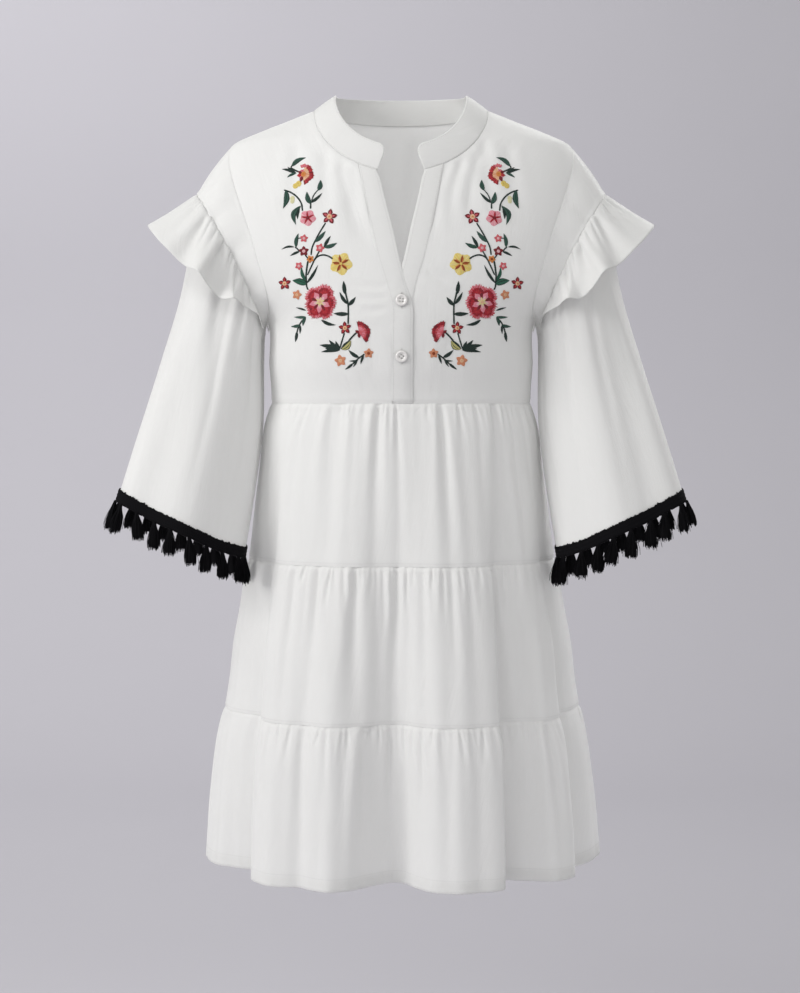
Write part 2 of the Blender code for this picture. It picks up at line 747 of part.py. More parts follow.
def build_buttons(material):
    for i, z in enumerate(BUTTON_LEVELS):
        angle = angle_at(BUTTON_X, z)
        base, normal = body(angle, z), body_normal(angle, z)
        mesh = bpy.data.meshes.new(f"button_{i + 1}")
        bm = bmesh.new()
        bmesh.ops.create_cone(
            bm, cap_ends=True, segments=BUTTON_SIDES, radius1=BUTTON_RADIUS, radius2=BUTTON_RADIUS,
            depth=BUTTON_THICKNESS,
        )
        rims = [e for e in bm.edges if abs(e.verts[0].co.z - e.verts[1].co.z) < 1e-6]
        bmesh.ops.bevel(bm, geom=rims, offset=0.0006, segments=2, affect="EDGES")
        bm.to_mesh(mesh)
        bm.free()
        mesh.shade_smooth()
        mesh.set_sharp_from_angle(angle=math.radians(50))
        button = new_part(f"button_{i + 1}", mesh, material)
        lift = BAND_LIFT + SEAM_GAP + BUTTON_THICKNESS / 2
        button.location = base + normal * lift
        button.rotation_euler = Vector(normal).to_track_quat("Z", "Y").to_euler()


def collection(name):
    made = bpy.data.collections.new(name)
    bpy.context.scene.collection.children.link(made)
    return made


def material(name, colour, roughness):
    made = bpy.data.materials.new(name)
    made.use_nodes = True
    shader = made.node_tree.nodes["Principled BSDF"]
    shader.inputs["Base Color"].default_value = (*colour, 1)
    shader.inputs["Roughness"].default_value = roughness
    return made


for old in list(bpy.data.objects):
    bpy.data.objects.remove(old)
DRESS = collection("peasant_dress")
COTTON = material("white_cotton", (0.86, 0.86, 0.85), 0.8)
BRAID = material("black_braid", (0.012, 0.012, 0.015), 0.75)
PEARL = material("pearl_button", (0.88, 0.86, 0.82), 0.25)

build_panels(COTTON)
build_bands(COTTON)
build_collar(COTTON)
for side, flip in (("left", False), ("right", True)):
    build_sleeve(side, flip, COTTON)
    build_flounce(side, flip, COTTON)
    build_trim(side, flip, BRAID)
build_buttons(PEARL)
build_skirt(COTTON)
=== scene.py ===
"""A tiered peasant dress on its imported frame: cloth with its gathers and folds, stitching, embroidery,
buttons, and black braid with tassels. Metres, +Z up, front towards -Y, origin level with the neck points.
"""
import math

import bpy
import numpy as np
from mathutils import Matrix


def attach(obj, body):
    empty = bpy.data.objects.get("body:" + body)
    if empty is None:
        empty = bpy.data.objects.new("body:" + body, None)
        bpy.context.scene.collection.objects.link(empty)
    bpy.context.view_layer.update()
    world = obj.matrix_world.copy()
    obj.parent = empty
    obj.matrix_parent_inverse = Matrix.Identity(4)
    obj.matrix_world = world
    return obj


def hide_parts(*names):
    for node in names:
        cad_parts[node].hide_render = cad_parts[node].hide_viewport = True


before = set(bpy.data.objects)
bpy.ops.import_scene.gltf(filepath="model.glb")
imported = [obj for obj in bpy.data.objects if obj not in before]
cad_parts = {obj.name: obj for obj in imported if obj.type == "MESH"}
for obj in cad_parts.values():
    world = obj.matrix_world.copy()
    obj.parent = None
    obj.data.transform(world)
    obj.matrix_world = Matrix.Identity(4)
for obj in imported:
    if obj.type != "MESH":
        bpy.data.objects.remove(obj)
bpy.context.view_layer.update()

# Levels below the neck point
WAIST_Z = -0.344
TIER_2_Z = -0.526
TIER_3_Z = -0.702
HEM_Z = -0.880

# The dress as plain sections: height, half width, depth in front, depth behind, squareness.
BODY = np.array([
    (-0.880, 0.2286, 0.146, 0.150, 0.00),
    (-0.800, 0.2227, 0.144, 0.147, 0.00),
    (-0.747, 0.2160, 0.142, 0.143, 0.00),
    (-0.702, 0.2070, 0.138, 0.137, 0.00),
    (-0.670, 0.2020, 0.137, 0.134, 0.00),
    (-0.623, 0.1970, 0.135, 0.129, 0.00),
    (-0.576, 0.1880, 0.132, 0.123, 0.00),
    (-0.526, 0.1795, 0.127, 0.116, 0.00),
    (-0.458, 0.1715, 0.121, 0.107, 0.02),
    (-0.412, 0.1650, 0.115, 0.099, 0.04),
    (-0.376, 0.1600, 0.109, 0.091, 0.07),
    (-0.344, 0.1530, 0.104, 0.084, 0.10),
    (-0.300, 0.1550, 0.113, 0.089, 0.12),
    (-0.247, 0.1580, 0.119, 0.096, 0.14),
    (-0.200, 0.1930, 0.115, 0.102, 0.14),
    (-0.147, 0.2140, 0.105, 0.104, 0.14),
    (-0.100, 0.2190, 0.093, 0.100, 0.12),
    (-0.064, 0.2120, 0.081, 0.092, 0.10),
    (-0.048, 0.2045, 0.074, 0.087, 0.10),
    (-0.039, 0.1965, 0.070, 0.084, 0.10),
    (-0.027, 0.1705, 0.064, 0.080, 0.10),
    (-0.015, 0.1400, 0.058, 0.076, 0.10),
    (0.000, 0.1020, 0.052, 0.072, 0.10),
])

# Neckline and collar
NECK_HALF_WIDTH = 0.102
NECK_DROP_FRONT = 0.082
NECK_DROP_BACK = 0.0067
NECK_ROUNDNESS = 2.0
COLLAR_HEIGHT = 0.031
COLLAR_CORNER = 0.014

# The way the collar stands: angle round the neck from the back, then across, back and up
COLLAR_RISE = np.array([
    (0, 0.00, -0.26, 0.965),
    (45, -0.40, -0.22, 0.860),
    (75, -0.72, -0.06, 0.660),
    (90, -0.80, 0.00, 0.585),
    (110, -0.78, 0.06, 0.600),
    (130, -0.70, 0.10, 0.700),
    (150, -0.50, 0.12, 0.850),
    (180, -0.25, 0.10, 0.950),
])

# Front bands: height, x of the seam and of the free edge, wearer's right (on top) and then left
BANDS = np.array([
    (-0.344, -0.0115, 0.0130, 0.0143, -0.0106),
    (-0.328, -0.0115, 0.0130, 0.0143, -0.0106),
    (-0.312, -0.0115, 0.0130, 0.0143, -0.0106),
    (-0.296, -0.0115, 0.0130, 0.0143, -0.0106),
    (-0.279, -0.0115, 0.0130, 0.0143, -0.0106),
    (-0.262, -0.0115, 0.0130, 0.0143, -0.0106),
    (-0.236, -0.0116, 0.0128, 0.0143, -0.0106),
    (-0.211, -0.0175, 0.0056, 0.0180, -0.0046),
    (-0.182, -0.0265, -0.0022, 0.0268, 0.0034),
    (-0.146, -0.0350, -0.0100, 0.0350, 0.0112),
    (-0.110, -0.0425, -0.0192, 0.0420, 0.0197),
    (-0.0719, -0.0490, -0.0285, 0.0490, 0.0270),
])
BAND_LIFT = 0.0015

# Armhole: angle round it from the shoulder, half distance between the two armholes in front, height
ARMHOLE = np.array([
    (0, 0.2000, -0.0425),
    (15, 0.2012, -0.0460),
    (30, 0.2012, -0.0567),
    (45, 0.1985, -0.0735),
    (60, 0.1922, -0.0945),
    (90, 0.1745, -0.1450),
    (120, 0.1595, -0.1960),
    (135, 0.1538, -0.2170),
    (150, 0.1520, -0.2335),
    (165, 0.1545, -0.2437),
    (180, 0.1580, -0.2470),
])
ARMHOLE_BACK_EASE = 0.004

# Sleeve rings: place along the sleeve, inner point x and z, outer point x and z, half depth, centre y, bow
SLEEVE = np.array([
    (0.16, 0.1600, -0.2570, 0.2400, -0.0980, 0.0600, -0.002, 0.008),
    (0.40, 0.1600, -0.3050, 0.2582, -0.2130, 0.0600, -0.008, 0.002),
    (0.60, 0.1605, -0.3700, 0.2802, -0.2930, 0.0580, -0.018, 0.000),
    (0.80, 0.1690, -0.4450, 0.3014, -0.3700, 0.0550, -0.038, 0.000),
    (1.00, 0.1800, -0.5195, 0.3238, -0.4540, 0.0520, -0.061, 0.000),
])
SEAM_AT = 0.16

# Soft folds of the sleeve at its cuff: angle round it, movement out
SLEEVE_FOLDS = np.array([
    (-180, 0.0),
    (-150, 0.002),
    (-112, -0.004),
    (-70, 0.003),
    (-35, -0.002),
    (0, 0.0),
    (32, 0.003),
    (62, -0.004),
    (95, 0.003),
    (128, -0.003),
    (155, 0.001),
    (180, 0.0),
])

# Flounce: angle round the sleeve, width, flare away from the sleeve
FLOUNCE = np.array([
    (0, 0.066, math.radians(49)),
    (20, 0.069, math.radians(39)),
    (40, 0.071, math.radians(33)),
    (60, 0.068, math.radians(31)),
    (80, 0.060, math.radians(28)),
    (92, 0.053, math.radians(26)),
    (105, 0.038, math.radians(24)),
    (120, 0.022, math.radians(22)),
    (140, 0.013, math.radians(20)),
    (156, 0.009, math.radians(16)),
])
FLOUNCE_END = 156

# Flounce waves at its free edge: angle round the sleeve, movement out
FLOUNCE_WAVES = np.array([
    (-156, 0.000),
    (-145, 0.002),
    (-128, -0.004),
    (-110, 0.006),
    (-94, -0.009),
    (-76, 0.007),
    (-58, -0.008),
    (-38, 0.006),
    (-20, -0.005),
    (0, 0.001),
    (22, 0.006),
    (36, 0.004),
    (56, -0.007),
    (72, 0.007),
    (86, -0.013),
    (101, 0.008),
    (114, -0.002),
    (130, 0.004),
    (145, 0.000),
    (156, 0.000),
])

# Skirt folds at the hem: angle from the front, movement out, movement round towards the wearer's left.
FOLDS = np.array([
    (-90, 0.000, 0.000),
    (-76, -0.010, 0.000),
    (-64, -0.024, -0.006),
    (-55, -0.036, 0.006),
    (-47, -0.006, -0.007),
    (-39, 0.010, -0.004),
    (-29, 0.004, 0.000),
    (-20, 0.013, 0.000),
    (-12, -0.006, 0.002),
    (-5, -0.034, 0.000),
    (1, -0.034, 0.000),
    (6, -0.008, -0.003),
    (12, 0.013, -0.002),
    (20, 0.016, 0.002),
    (27, 0.008, 0.009),
    (32, -0.026, -0.004),
    (40, -0.012, 0.000),
    (49, 0.009, 0.002),
    (57, 0.002, 0.006),
    (63, -0.024, -0.003),
    (74, -0.014, 0.000),
    (90, 0.000, 0.000),
    (103, 0.012, 0.000),
    (115, -0.018, 0.000),
    (127, 0.012, 0.003),
    (137, 0.010, 0.005),
    (147, -0.026, -0.003),
    (160, 0.014, 0.000),
    (171, 0.008, -0.004),
    (181, -0.028, 0.003),
    (194, 0.013, 0.000),
    (206, 0.012, 0.005),
    (216, -0.024, -0.003),
    (229, 0.013, 0.000),
    (241, 0.008, -0.003),
    (252, -0.018, 0.000),
    (262, 0.004, 0.000),
    (270, 0.000, 0.000),
])

# Growth of the skirt folds: share of the way down from the waist, share of their size
FOLD_GROWTH = np.array([
    (0.000, 0.00),
    (0.170, 0.10),
    (0.340, 0.26),
    (0.670, 0.62),
    (1.000, 1.00),
])
FOLD_DRIFT = math.radians(8)

# Gathers in front, tier by tier: x at the seam, x at the lower end, length, depth, half width; millimetres
GATHERS_FRONT = (
    (
        (-128, -131, 30, 1.2, 3.0), (-116, -119, 26, 1.0, 3.0), (-103, -114, 56, 2.0, 3.6),
        (-90, -93, 24, 0.8, 2.6), (-79, -80, 90, 2.8, 5.5), (-63, -61, 26, 1.8, 2.4),
        (-55, -58, 16, 1.6, 1.8), (-42, -44, 34, 1.2, 4.0), (-26, -28, 120, 3.4, 6.0),
        (-17, -21, 24, 2.4, 2.2), (-8, -4, 44, 2.0, 3.2), (9, 9, 22, 0.7, 3.0),
        (29, 29, 20, 1.4, 3.0), (37, 36, 14, 1.1, 1.6), (44, 47, 130, 3.2, 5.0),
        (62, 66, 40, 2.0, 3.0), (72, 73, 20, 1.0, 2.4), (84, 87, 46, 1.8, 3.4),
        (97, 99, 26, 1.2, 2.4), (105, 101, 70, 2.4, 4.6), (115, 114, 52, 1.8, 3.0),
        (127, 127, 24, 1.4, 2.4), (134, 137, 60, 1.6, 3.6), (145, 149, 44, 1.2, 3.0),
    ),
    (
        (-152, -156, 40, 1.4, 3.4), (-141, -144, 60, 1.4, 3.6), (-129, -134, 30, 1.6, 2.6),
        (-118, -119, 90, 2.2, 4.6), (-108, -112, 26, 2.0, 2.4), (-98, -99, 40, 1.8, 3.0),
        (-91, -88, 110, 3.0, 4.6), (-80, -82, 30, 2.2, 2.4), (-72, -73, 20, 1.8, 2.0),
        (-62, -58, 60, 2.2, 3.2), (-52, -50, 130, 2.8, 5.4), (-43, -46, 26, 2.0, 2.2),
        (-34, -36, 36, 1.4, 2.8), (-22, -18, 70, 2.2, 3.4), (-13, -12, 30, 2.4, 2.2),
        (-5, -4, 120, 3.0, 5.0), (6, 8, 36, 1.8, 2.6), (15, 15, 22, 1.6, 2.0),
        (26, 28, 80, 2.0, 3.8), (35, 35, 24, 2.0, 2.0), (43, 46, 46, 2.2, 2.8),
        (54, 54, 130, 2.8, 4.4), (63, 66, 26, 2.0, 2.2), (73, 74, 60, 1.6, 3.2),
        (83, 84, 28, 1.8, 2.4), (92, 93, 110, 2.6, 4.2), (101, 103, 30, 2.4, 2.4),
        (109, 106, 90, 2.8, 4.0), (119, 121, 40, 1.8, 2.6), (130, 132, 28, 1.6, 2.4),
        (141, 143, 90, 2.2, 4.2), (152, 156, 36, 1.4, 2.8), (162, 166, 60, 1.2, 3.0),
    ),
    (
        (-180, -184, 60, 1.6, 3.4), (-170, -174, 40, 1.8, 3.0), (-160, -163, 90, 2.0, 4.0),
        (-150, -152, 26, 1.8, 2.2), (-141, -144, 50, 1.6, 3.0), (-131, -132, 30, 2.0, 2.4),
        (-121, -124, 36, 1.8, 2.6), (-108, -107, 130, 3.4, 4.6), (-99, -99, 60, 2.6, 2.8),
        (-90, -92, 22, 2.0, 2.0), (-78, -77, 70, 2.4, 3.0), (-66, -66, 40, 2.2, 2.6),
        (-57, -60, 24, 1.6, 2.0), (-46, -40, 130, 3.0, 5.4), (-37, -38, 26, 1.8, 2.0),
        (-27, -28, 30, 2.0, 2.2), (-16, -15, 60, 2.4, 3.0), (-5, -3, 44, 2.2, 2.6),
        (4, 6, 24, 2.0, 2.0), (14, 15, 36, 1.8, 2.6), (24, 25, 70, 2.4, 3.2),
        (34, 36, 24, 2.0, 2.0), (44, 45, 40, 1.8, 2.6), (54, 53, 120, 3.0, 4.2),
        (63, 66, 26, 2.2, 2.2), (73, 75, 36, 1.8, 2.6), (84, 84, 24, 2.0, 2.0),
        (95, 97, 70, 2.4, 3.2), (106, 109, 30, 2.4, 2.6), (116, 117, 110, 3.0, 4.0),
        (127, 129, 36, 2.0, 2.6), (138, 139, 26, 1.8, 2.2), (149, 152, 50, 2.0, 3.0),
        (160, 162, 110, 2.4, 4.0), (171, 175, 40, 1.8, 2.8), (181, 186, 60, 1.6, 3.0),
    ),
)
GATHERS_BEHIND = (24, 30, 36)

# Long folds that run the whole height of a tier in front: x, depth, half width; millimetres
TIER_FOLDS = (
    (
        (-112, 0.8, 7), (-71, 2.8, 12), (-52, 0.6, 5), (-25, 1.5, 6), (-3, 1.0, 5), (20, 0.5, 8),
        (46, 2.2, 7), (66, 0.5, 6), (84, 0.6, 5), (105, 3.4, 9), (122, 0.7, 5), (137, 1.0, 7),
    ),
    (
        (-146, 0.9, 7), (-116, 1.7, 7), (-93, 0.7, 6), (-50, 2.4, 10), (-28, 0.6, 5), (-7, 1.6, 6),
        (23, 1.1, 6), (48, 1.8, 6), (72, 0.6, 6), (104, 3.4, 9), (126, 0.7, 6), (150, 1.6, 9),
    ),
    (
        (-168, 1.0, 8), (-140, 0.8, 7), (-105, 2.0, 7), (-82, 0.8, 6), (-61, 1.0, 6), (-38, 4.2, 11),
        (-12, 0.9, 6), (22, 0.8, 6), (48, 2.2, 7), (78, 0.8, 6), (108, 3.4, 10), (133, 0.8, 7),
        (164, 2.0, 9),
    ),
)

# Soft folds on the two fronts: side, from x and z, to x and z, bend, depth, half width; millimetres
FRONT_FOLDS = (
    ("left", 58, -62, 33, -165, 6, 1.8, 4.5),
    ("left", 74, -60, 52, -150, 6, 2.0, 5.0),
    ("left", 90, -52, 76, -150, 5, 1.5, 5.0),
    ("left", 96, -36, 104, -120, 4, 1.2, 5.0),
    ("left", 122, -40, 138, -150, 4, 1.0, 6.0),
    ("left", 26, -196, 62, -206, 3, 0.7, 3.5),
    ("right", 70, -60, 32, -180, -5, 2.2, 6.0),
    ("right", 56, -70, 46, -130, 2, 1.3, 5.0),
    ("right", 90, -50, 84, -130, 4, 1.2, 6.0),
    ("right", 120, -40, 132, -150, 4, 1.0, 6.0),
    ("right", 14, -214, 60, -206, 3, 0.9, 3.0),
    ("right", 14, -226, 64, -220, 3, 0.8, 3.0),
    ("right", 14, -238, 56, -236, 3, 0.7, 3.0),
    ("right", 40, -262, 26, -330, 3, 0.9, 7.0),
    ("left", 60, -262, 52, -330, 3, 0.7, 7.0),
)

# Soft folds on the back, in the same way
BACK_FOLDS = (
    (96, -30, 70, -150, 6, 1.6, 7.0), (-96, -30, -74, -160, -6, 1.5, 7.0),
    (40, -20, 30, -120, 3, 1.2, 6.0), (-44, -20, -30, -130, -3, 1.2, 6.0),
    (6, -16, 4, -110, 2, 1.0, 6.0), (60, -200, 70, -330, 4, 1.2, 9.0),
    (-64, -210, -70, -330, -4, 1.2, 9.0), (10, -220, 4, -335, 3, 1.0, 9.0),
)

# The embroidery's layout, as read from the photograph
# Leaves of one spray: foot and tip, across from the middle and down from the neck, width, bend, thread; mm
LEAVES = (
    (124.9, 73.1, 108.3, 64.1, 5.6, 2.5, "green"),
    (119.5, 81.7, 135.8, 76.9, 3.8, -1.1, "dark"),
    (119.5, 81.1, 129.8, 86.6, 2.9, -0.7, "green"),
    (120.7, 80.4, 129.5, 74.2, 2.9, 0.4, "dark"),
    (130.7, 101.9, 133.8, 122.8, 6.5, 2.2, "green"),
    (113.7, 120.5, 118.6, 142.3, 6.7, -5.6, "green"),
    (115.4, 121.6, 117, 136, 3.8, -0.7, "dark"),
    (102.3, 118.5, 106.5, 104.4, 5.6, 1.3, "green"),
    (102.3, 117.3, 89.3, 105.9, 3.6, -0.9, "dark"),
    (93.4, 102.9, 91.2, 90.6, 5.4, -0.9, "green"),
    (96.7, 162.3, 84.9, 149.9, 4.7, -0.7, "green"),
    (86.5, 168.7, 79.2, 155.7, 3.8, 0.4, "dark"),
    (85.9, 168.7, 71.8, 163.8, 4.7, -0.9, "green"),
    (118.4, 167.5, 115.7, 152.1, 4.7, 1.1, "green"),
    (114.4, 172.7, 125.3, 177.5, 2.9, -0.4, "dark"),
    (120.7, 167.4, 135.1, 169.8, 2.5, -1.6, "dark"),
    (106.3, 209.6, 122.4, 205.2, 7.6, -0.9, "bright"),
    (106.8, 206.2, 112, 189.7, 4, 1.8, "bright"),
    (105.7, 208.5, 93.2, 188.5, 3.4, -0.9, "dark"),
    (107.1, 239.1, 118.7, 235.4, 2.2, -0.2, "dark"),
    (89.3, 250.2, 72.8, 256, 3.8, -1.6, "dark"),
    (62.6, 221.5, 64.3, 206.9, 4.7, 0.2, "dark"),
    (60.3, 232.7, 68.8, 219.2, 3.8, 0.7, "dark"),
    (59.2, 234.4, 50.8, 225, 4.3, -0.7, "dark"),
    (59.2, 243.9, 75.6, 243.1, 4.7, 0.4, "dark"),
    (107.2, 246.4, 121.3, 245.9, 3.1, 0.4, "green"),
    (107.8, 246.3, 110.8, 256.3, 4, -0.7, "green"),
    (113.7, 255.1, 125.1, 256.4, 3.6, 0.7, "green"),
    (114.3, 255.1, 114.4, 265.2, 2.7, 0.3, "dark"),
    (118, 262.9, 119.8, 274.1, 3.8, 0.2, "dark"),
    (68.4, 284, 91.7, 278.1, 5.8, -0.9, "dark"),
    (69.5, 284.5, 90, 286, 3.8, -0.7, "dark"),
    (70.6, 283.4, 80.8, 272.7, 4.5, 0.4, "dark"),
    (69.5, 283.4, 73.4, 273.9, 4, 0.2, "dark"),
    (68.9, 284, 85.4, 282.1, 4.5, 0, "dark"),
    (66.1, 283.4, 55.9, 273.5, 6.7, -1.8, "lime"),
    (67.2, 282.8, 57, 272.9, 2.9, 0.4, "dark"),
    (47, 292.5, 58.8, 284, 4, 0.9, "dark"),
    (53.8, 299.1, 62.8, 305.8, 2.9, 0.3, "dark"),
    (48.1, 295.8, 58.3, 296.3, 2, 0.2, "dark"),
    (49.2, 296.3, 53.8, 303, 2, 0.2, "dark"),
    (41.9, 290.2, 45.3, 299.7, 2.7, -0.2, "dark"),
)

# Stems: width, then the places along it, in the same way
STEMS = (
    (1.6, (124.7, 79.1), (125.4, 74.3), (124.3, 72)),
    (1.9, (125.4, 75.5), (120.7, 78.1), (115.5, 80.6)),
    (1.9, (133, 101.3), (126, 103.8), (117.9, 109.9), (112.6, 118.2), (111.3, 126.4)),
    (1.8, (102.2, 124.2), (102, 117.3)),
    (1.3, (101.2, 115), (98.4, 108.1), (93.9, 102.3)),
    (1.8, (85, 140.7), (91.2, 150.9), (96.7, 161.1), (100.1, 169), (101.2, 177)),
    (1.3, (118.5, 159.5), (115.6, 157.6), (112.7, 157.7)),
    (1.7, (119.6, 167.4), (116.7, 169.8), (114.4, 172.7)),
    (1.6, (108, 176.8), (105.2, 180.3), (103.4, 182.6)),
    (2.1, (106.3, 209.6), (106.8, 200.6), (105.9, 191.6), (104.6, 183.7)),
    (1.9, (106.5, 208.4), (105.9, 212.9), (104.3, 216.3)),
    (1.7, (105.1, 199.5), (100, 188.3), (95.5, 179.4), (91.6, 172.6)),
    (1.9, (98.9, 185), (94.4, 179.4), (87.6, 177.2), (81.9, 178.5), (76.2, 181.9)),
    (2, (59.2, 255.1), (58.9, 241.7), (59.2, 232.7), (61.5, 222.7), (62.6, 217)),
    (1.8, (107.8, 246.9), (112.5, 251.2), (116.1, 257.3), (118.2, 264)),
    (1.7, (63.4, 265), (66.1, 273.9), (68.9, 282.8)),
    (2, (49.1, 264.1), (54.2, 269), (58.7, 274)),
    (1.7, (40.8, 288.6), (47, 293), (54.3, 299.7)),
)

# Flowers: kind, place, radius in millimetres, and turn in degrees
FLOWERS = (
    ("fan", 110.8, 83.7, 12.4, -2),
    ("bud", 118.1, 95.3, 5.6, 35),
    ("pale_bud", 123.4, 112.7, 4.5, 88),
    ("star", 105.2, 134.6, 9.4, 25),
    ("petals_red", 80.5, 133.7, 8.8, 80),
    ("ring_pink", 109.3, 158, 4.7, 10),
    ("ring_red", 109.4, 172.6, 5.8, 20),
    ("ring_pink", 91, 169.2, 5.2, 0),
    ("ring_orange", 101.8, 181.7, 4.5, 45),
    ("star_yellow", 67.2, 187.5, 12.8, 100),
    ("ring_pink", 114.9, 189.1, 4.7, 60),
    ("petals_dark", 131.4, 208.3, 7.4, 92),
    ("ring_peach", 117.3, 221.3, 5.6, 0),
    ("rose", 90.6, 230, 18, 0),
    ("petals_dark", 62.6, 259.5, 7.2, 95),
    ("half_moon", 46.9, 265.2, 12.4, 25),
    ("ring_peach", 67.9, 295.8, 6.7, 30),
    ("ring_brown", 36.3, 287.9, 5.6, 15),
)


def through(at, places, values):
    """Values of a smooth curve through a table's points, which may be numbers or whole rows."""
    slopes = np.gradient(values, places, axis=0)
    at = np.clip(at, places[0], places[-1])
    i = np.clip(np.searchsorted(places, at, side="right") - 1, 0, len(places) - 2)
    span = places[i + 1] - places[i]
    t = (at - places[i]) / span
    for _ in range(np.ndim(values) - 1):
        span, t = span[..., None], t[..., None]
    start, end = values[i], values[i + 1]
    rise, fall = slopes[i] * span, slopes[i + 1] * span
    return (
        start * (1 + 2 * t) * (1 - t) ** 2
        + rise * t * (1 - t) ** 2
        + end * t**2 * (3 - 2 * t)
        + fall * t**2 * (t - 1)
    )


def ease(t):
    t = np.clip(t, 0, 1)
    return t * t * (3 - 2 * t)


def unit(v):
    return v / np.maximum(np.linalg.norm(v, axis=-1, keepdims=True), 1e-12)


def point(x, y, z):
    return np.stack(np.broadcast_arrays(x, y, z), axis=-1)


def flipped(points, side):
    """Rows of points for the side named, from those of the wearer's left."""
    return points if side == "left" else points[:, ::-1] * np.array((-1, 1, 1))


def normals(surface, u, v, step=1e-4):
    along = surface(u + step, v) - surface(u - step, v)
    down = surface(u, v + step) - surface(u, v - step)
    return unit(np.cross(along, down))


def grid_normals(points, closed=False):
    """Unit normals of a grid of points, from its own rows and columns."""
    if closed:
        along = np.roll(points, -1, axis=1) - np.roll(points, 1, axis=1)
    else:
        along = np.gradient(points, axis=1)
    return unit(np.cross(along, np.gradient(points, axis=0)))


def half_width(z):
    return through(z, BODY[:, 0], BODY[:, 1])


def body(angle, z):
    """A point on the dress without folds. The angle is 0 in front and grows towards the wearer's left."""
    front = through(z, BODY[:, 0], BODY[:, 2])
    back = through(z, BODY[:, 0], BODY[:, 3])
    depth = np.where(np.cos(angle) > 0, front, back)
    square = 1 + through(z, BODY[:, 0], BODY[:, 4]) * np.sin(angle) ** 2
    return point(half_width(z) * np.sin(angle), -depth * square * np.cos(angle), z)


def body_normal(angle, z):
    return normals(body, angle, z)


def angle_at(x, z):
    return np.arcsin(np.clip(x / half_width(z), -1, 1))


def level_ways(surface, angle, z, step=1e-3):
    """The level ways at a place on a surface: along it, and out of it."""
    side = unit(surface(angle + step, z) - surface(angle - step, z))
    return side, np.stack([side[..., 1], -side[..., 0], side[..., 2] * 0], axis=-1)


def fold_offsets(angle, z):
    down = (WAIST_Z - z) / (WAIST_Z - HEM_Z)
    drifted = angle - FOLD_DRIFT * np.sin(2 * angle) * (1 - np.clip(down, 0, 1))
    degrees = (np.degrees(drifted) + 90) % 360 - 90
    grown = through(down, FOLD_GROWTH[:, 0], FOLD_GROWTH[:, 1])
    out = through(degrees, FOLDS[:, 0], FOLDS[:, 1])
    around = through(degrees, FOLDS[:, 0], FOLDS[:, 2])
    return out * grown, around * grown


def skirt(angle, z):
    base = body(angle, z)
    side, out = level_ways(body, angle, z)
    away, around = fold_offsets(angle, z)
    return base + out * away[..., None] + side * around[..., None]


# Meshes


def finish_piece(obj, nodes=()):
    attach(obj, "root")
    if nodes:
        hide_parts(*nodes)
    return obj


def mesh_object(name, verts, faces, materials, indices=None, uvs=None):
    mesh = bpy.data.meshes.new(name)
    verts = np.asarray(verts, dtype=np.float64).reshape(-1, 3)
    mesh.from_pydata(verts.tolist(), [], faces)
    for material in materials:
        mesh.materials.append(material)
    if indices is not None:
        mesh.polygons.foreach_set("material_index", np.asarray(indices, dtype=np.int32))
    if uvs is not None:
        layer = mesh.uv_layers.new(name="cloth")
        loops = np.empty(len(mesh.loops), dtype=np.int32)
        mesh.loops.foreach_get("vertex_index", loops)
        layer.data.foreach_set("uv", np.asarray(uvs, dtype=np.float64).reshape(-1, 2)[loops].ravel())
    mesh.shade_smooth()
    obj = bpy.data.objects.new(name, mesh)
    bpy.context.scene.collection.objects.link(obj)
    return obj


def grid_faces(rows, columns, closed=False, start=0):
    i, j = np.meshgrid(np.arange(rows - 1), np.arange(columns if closed else columns - 1), indexing="ij")
    k = (j + 1) % columns
    a, b = i * columns + j, i * columns + k
    quads = np.stack([a, a + columns, b + columns, b], axis=-1) + start
    if closed:
        quads[..., 1] = (i + 1) * columns + j + start
        quads[..., 2] = (i + 1) * columns + k + start
    return quads.reshape(-1, 4)


def cloth_uv(points):
    """Places on the cloth in metres: along each row, and down each column."""
    across = np.linalg.norm(np.diff(points, axis=1), axis=-1)
    down = np.linalg.norm(np.diff(points, axis=0), axis=-1)
    u = np.concatenate([np.zeros((len(points), 1)), np.cumsum(across, axis=1)], axis=1)
    v = np.concatenate([np.zeros((1, points.shape[1])), np.cumsum(down, axis=0)])
    return np.stack([u, np.broadcast_to(v.mean(axis=1, keepdims=True), u.shape)], axis=-1)


def cloth(name, points, material, nodes=(), closed=False, thickness=None, wrapped=False):
    """A cloth piece from rows of points, top edge first, each left to right as seen from outside."""
    rows, columns = points.shape[:2]
    faces = grid_faces(rows, columns, closed)
    if wrapped:
        j = np.arange(columns - 1)
        last = (rows - 1) * columns
        faces = np.concatenate([faces, np.stack([last + j, j, j + 1, last + j + 1], axis=-1)])
    obj = mesh_object(f"cloth_{name}", points, faces.tolist(), [material], uvs=cloth_uv(points))
    if thickness:
        solid = obj.modifiers.new("thickness", "SOLIDIFY")
        solid.thickness = thickness
        solid.offset = -1
    return finish_piece(obj, nodes)


def troughs(x, z, folds):
    """Depth of soft folds at places on a plane, in millimetres. Each runs from one point to another."""
    total = np.zeros(np.broadcast(x, z).shape)
    for x0, z0, x1, z1, bend, depth, width in folds:
        dx, dz = x1 - x0, z1 - z0
        length = math.hypot(dx, dz)
        t = ((x - x0) * dx + (z - z0) * dz) / length**2
        off = ((x - x0) * dz - (z - z0) * dx) / length - bend * np.sin(np.pi * np.clip(t, 0, 1))
        along = ease(t / 0.18) * ease((1 - t) / 0.45)
        reach = width * (1 + 0.9 * np.clip(t, 0, 1))
        total -= depth * along * np.exp(-((off / reach) ** 2))
        total += 0.45 * depth * along * np.exp(-(((np.abs(off) - 1.9 * reach) / reach) ** 2))
    return total


# Materials


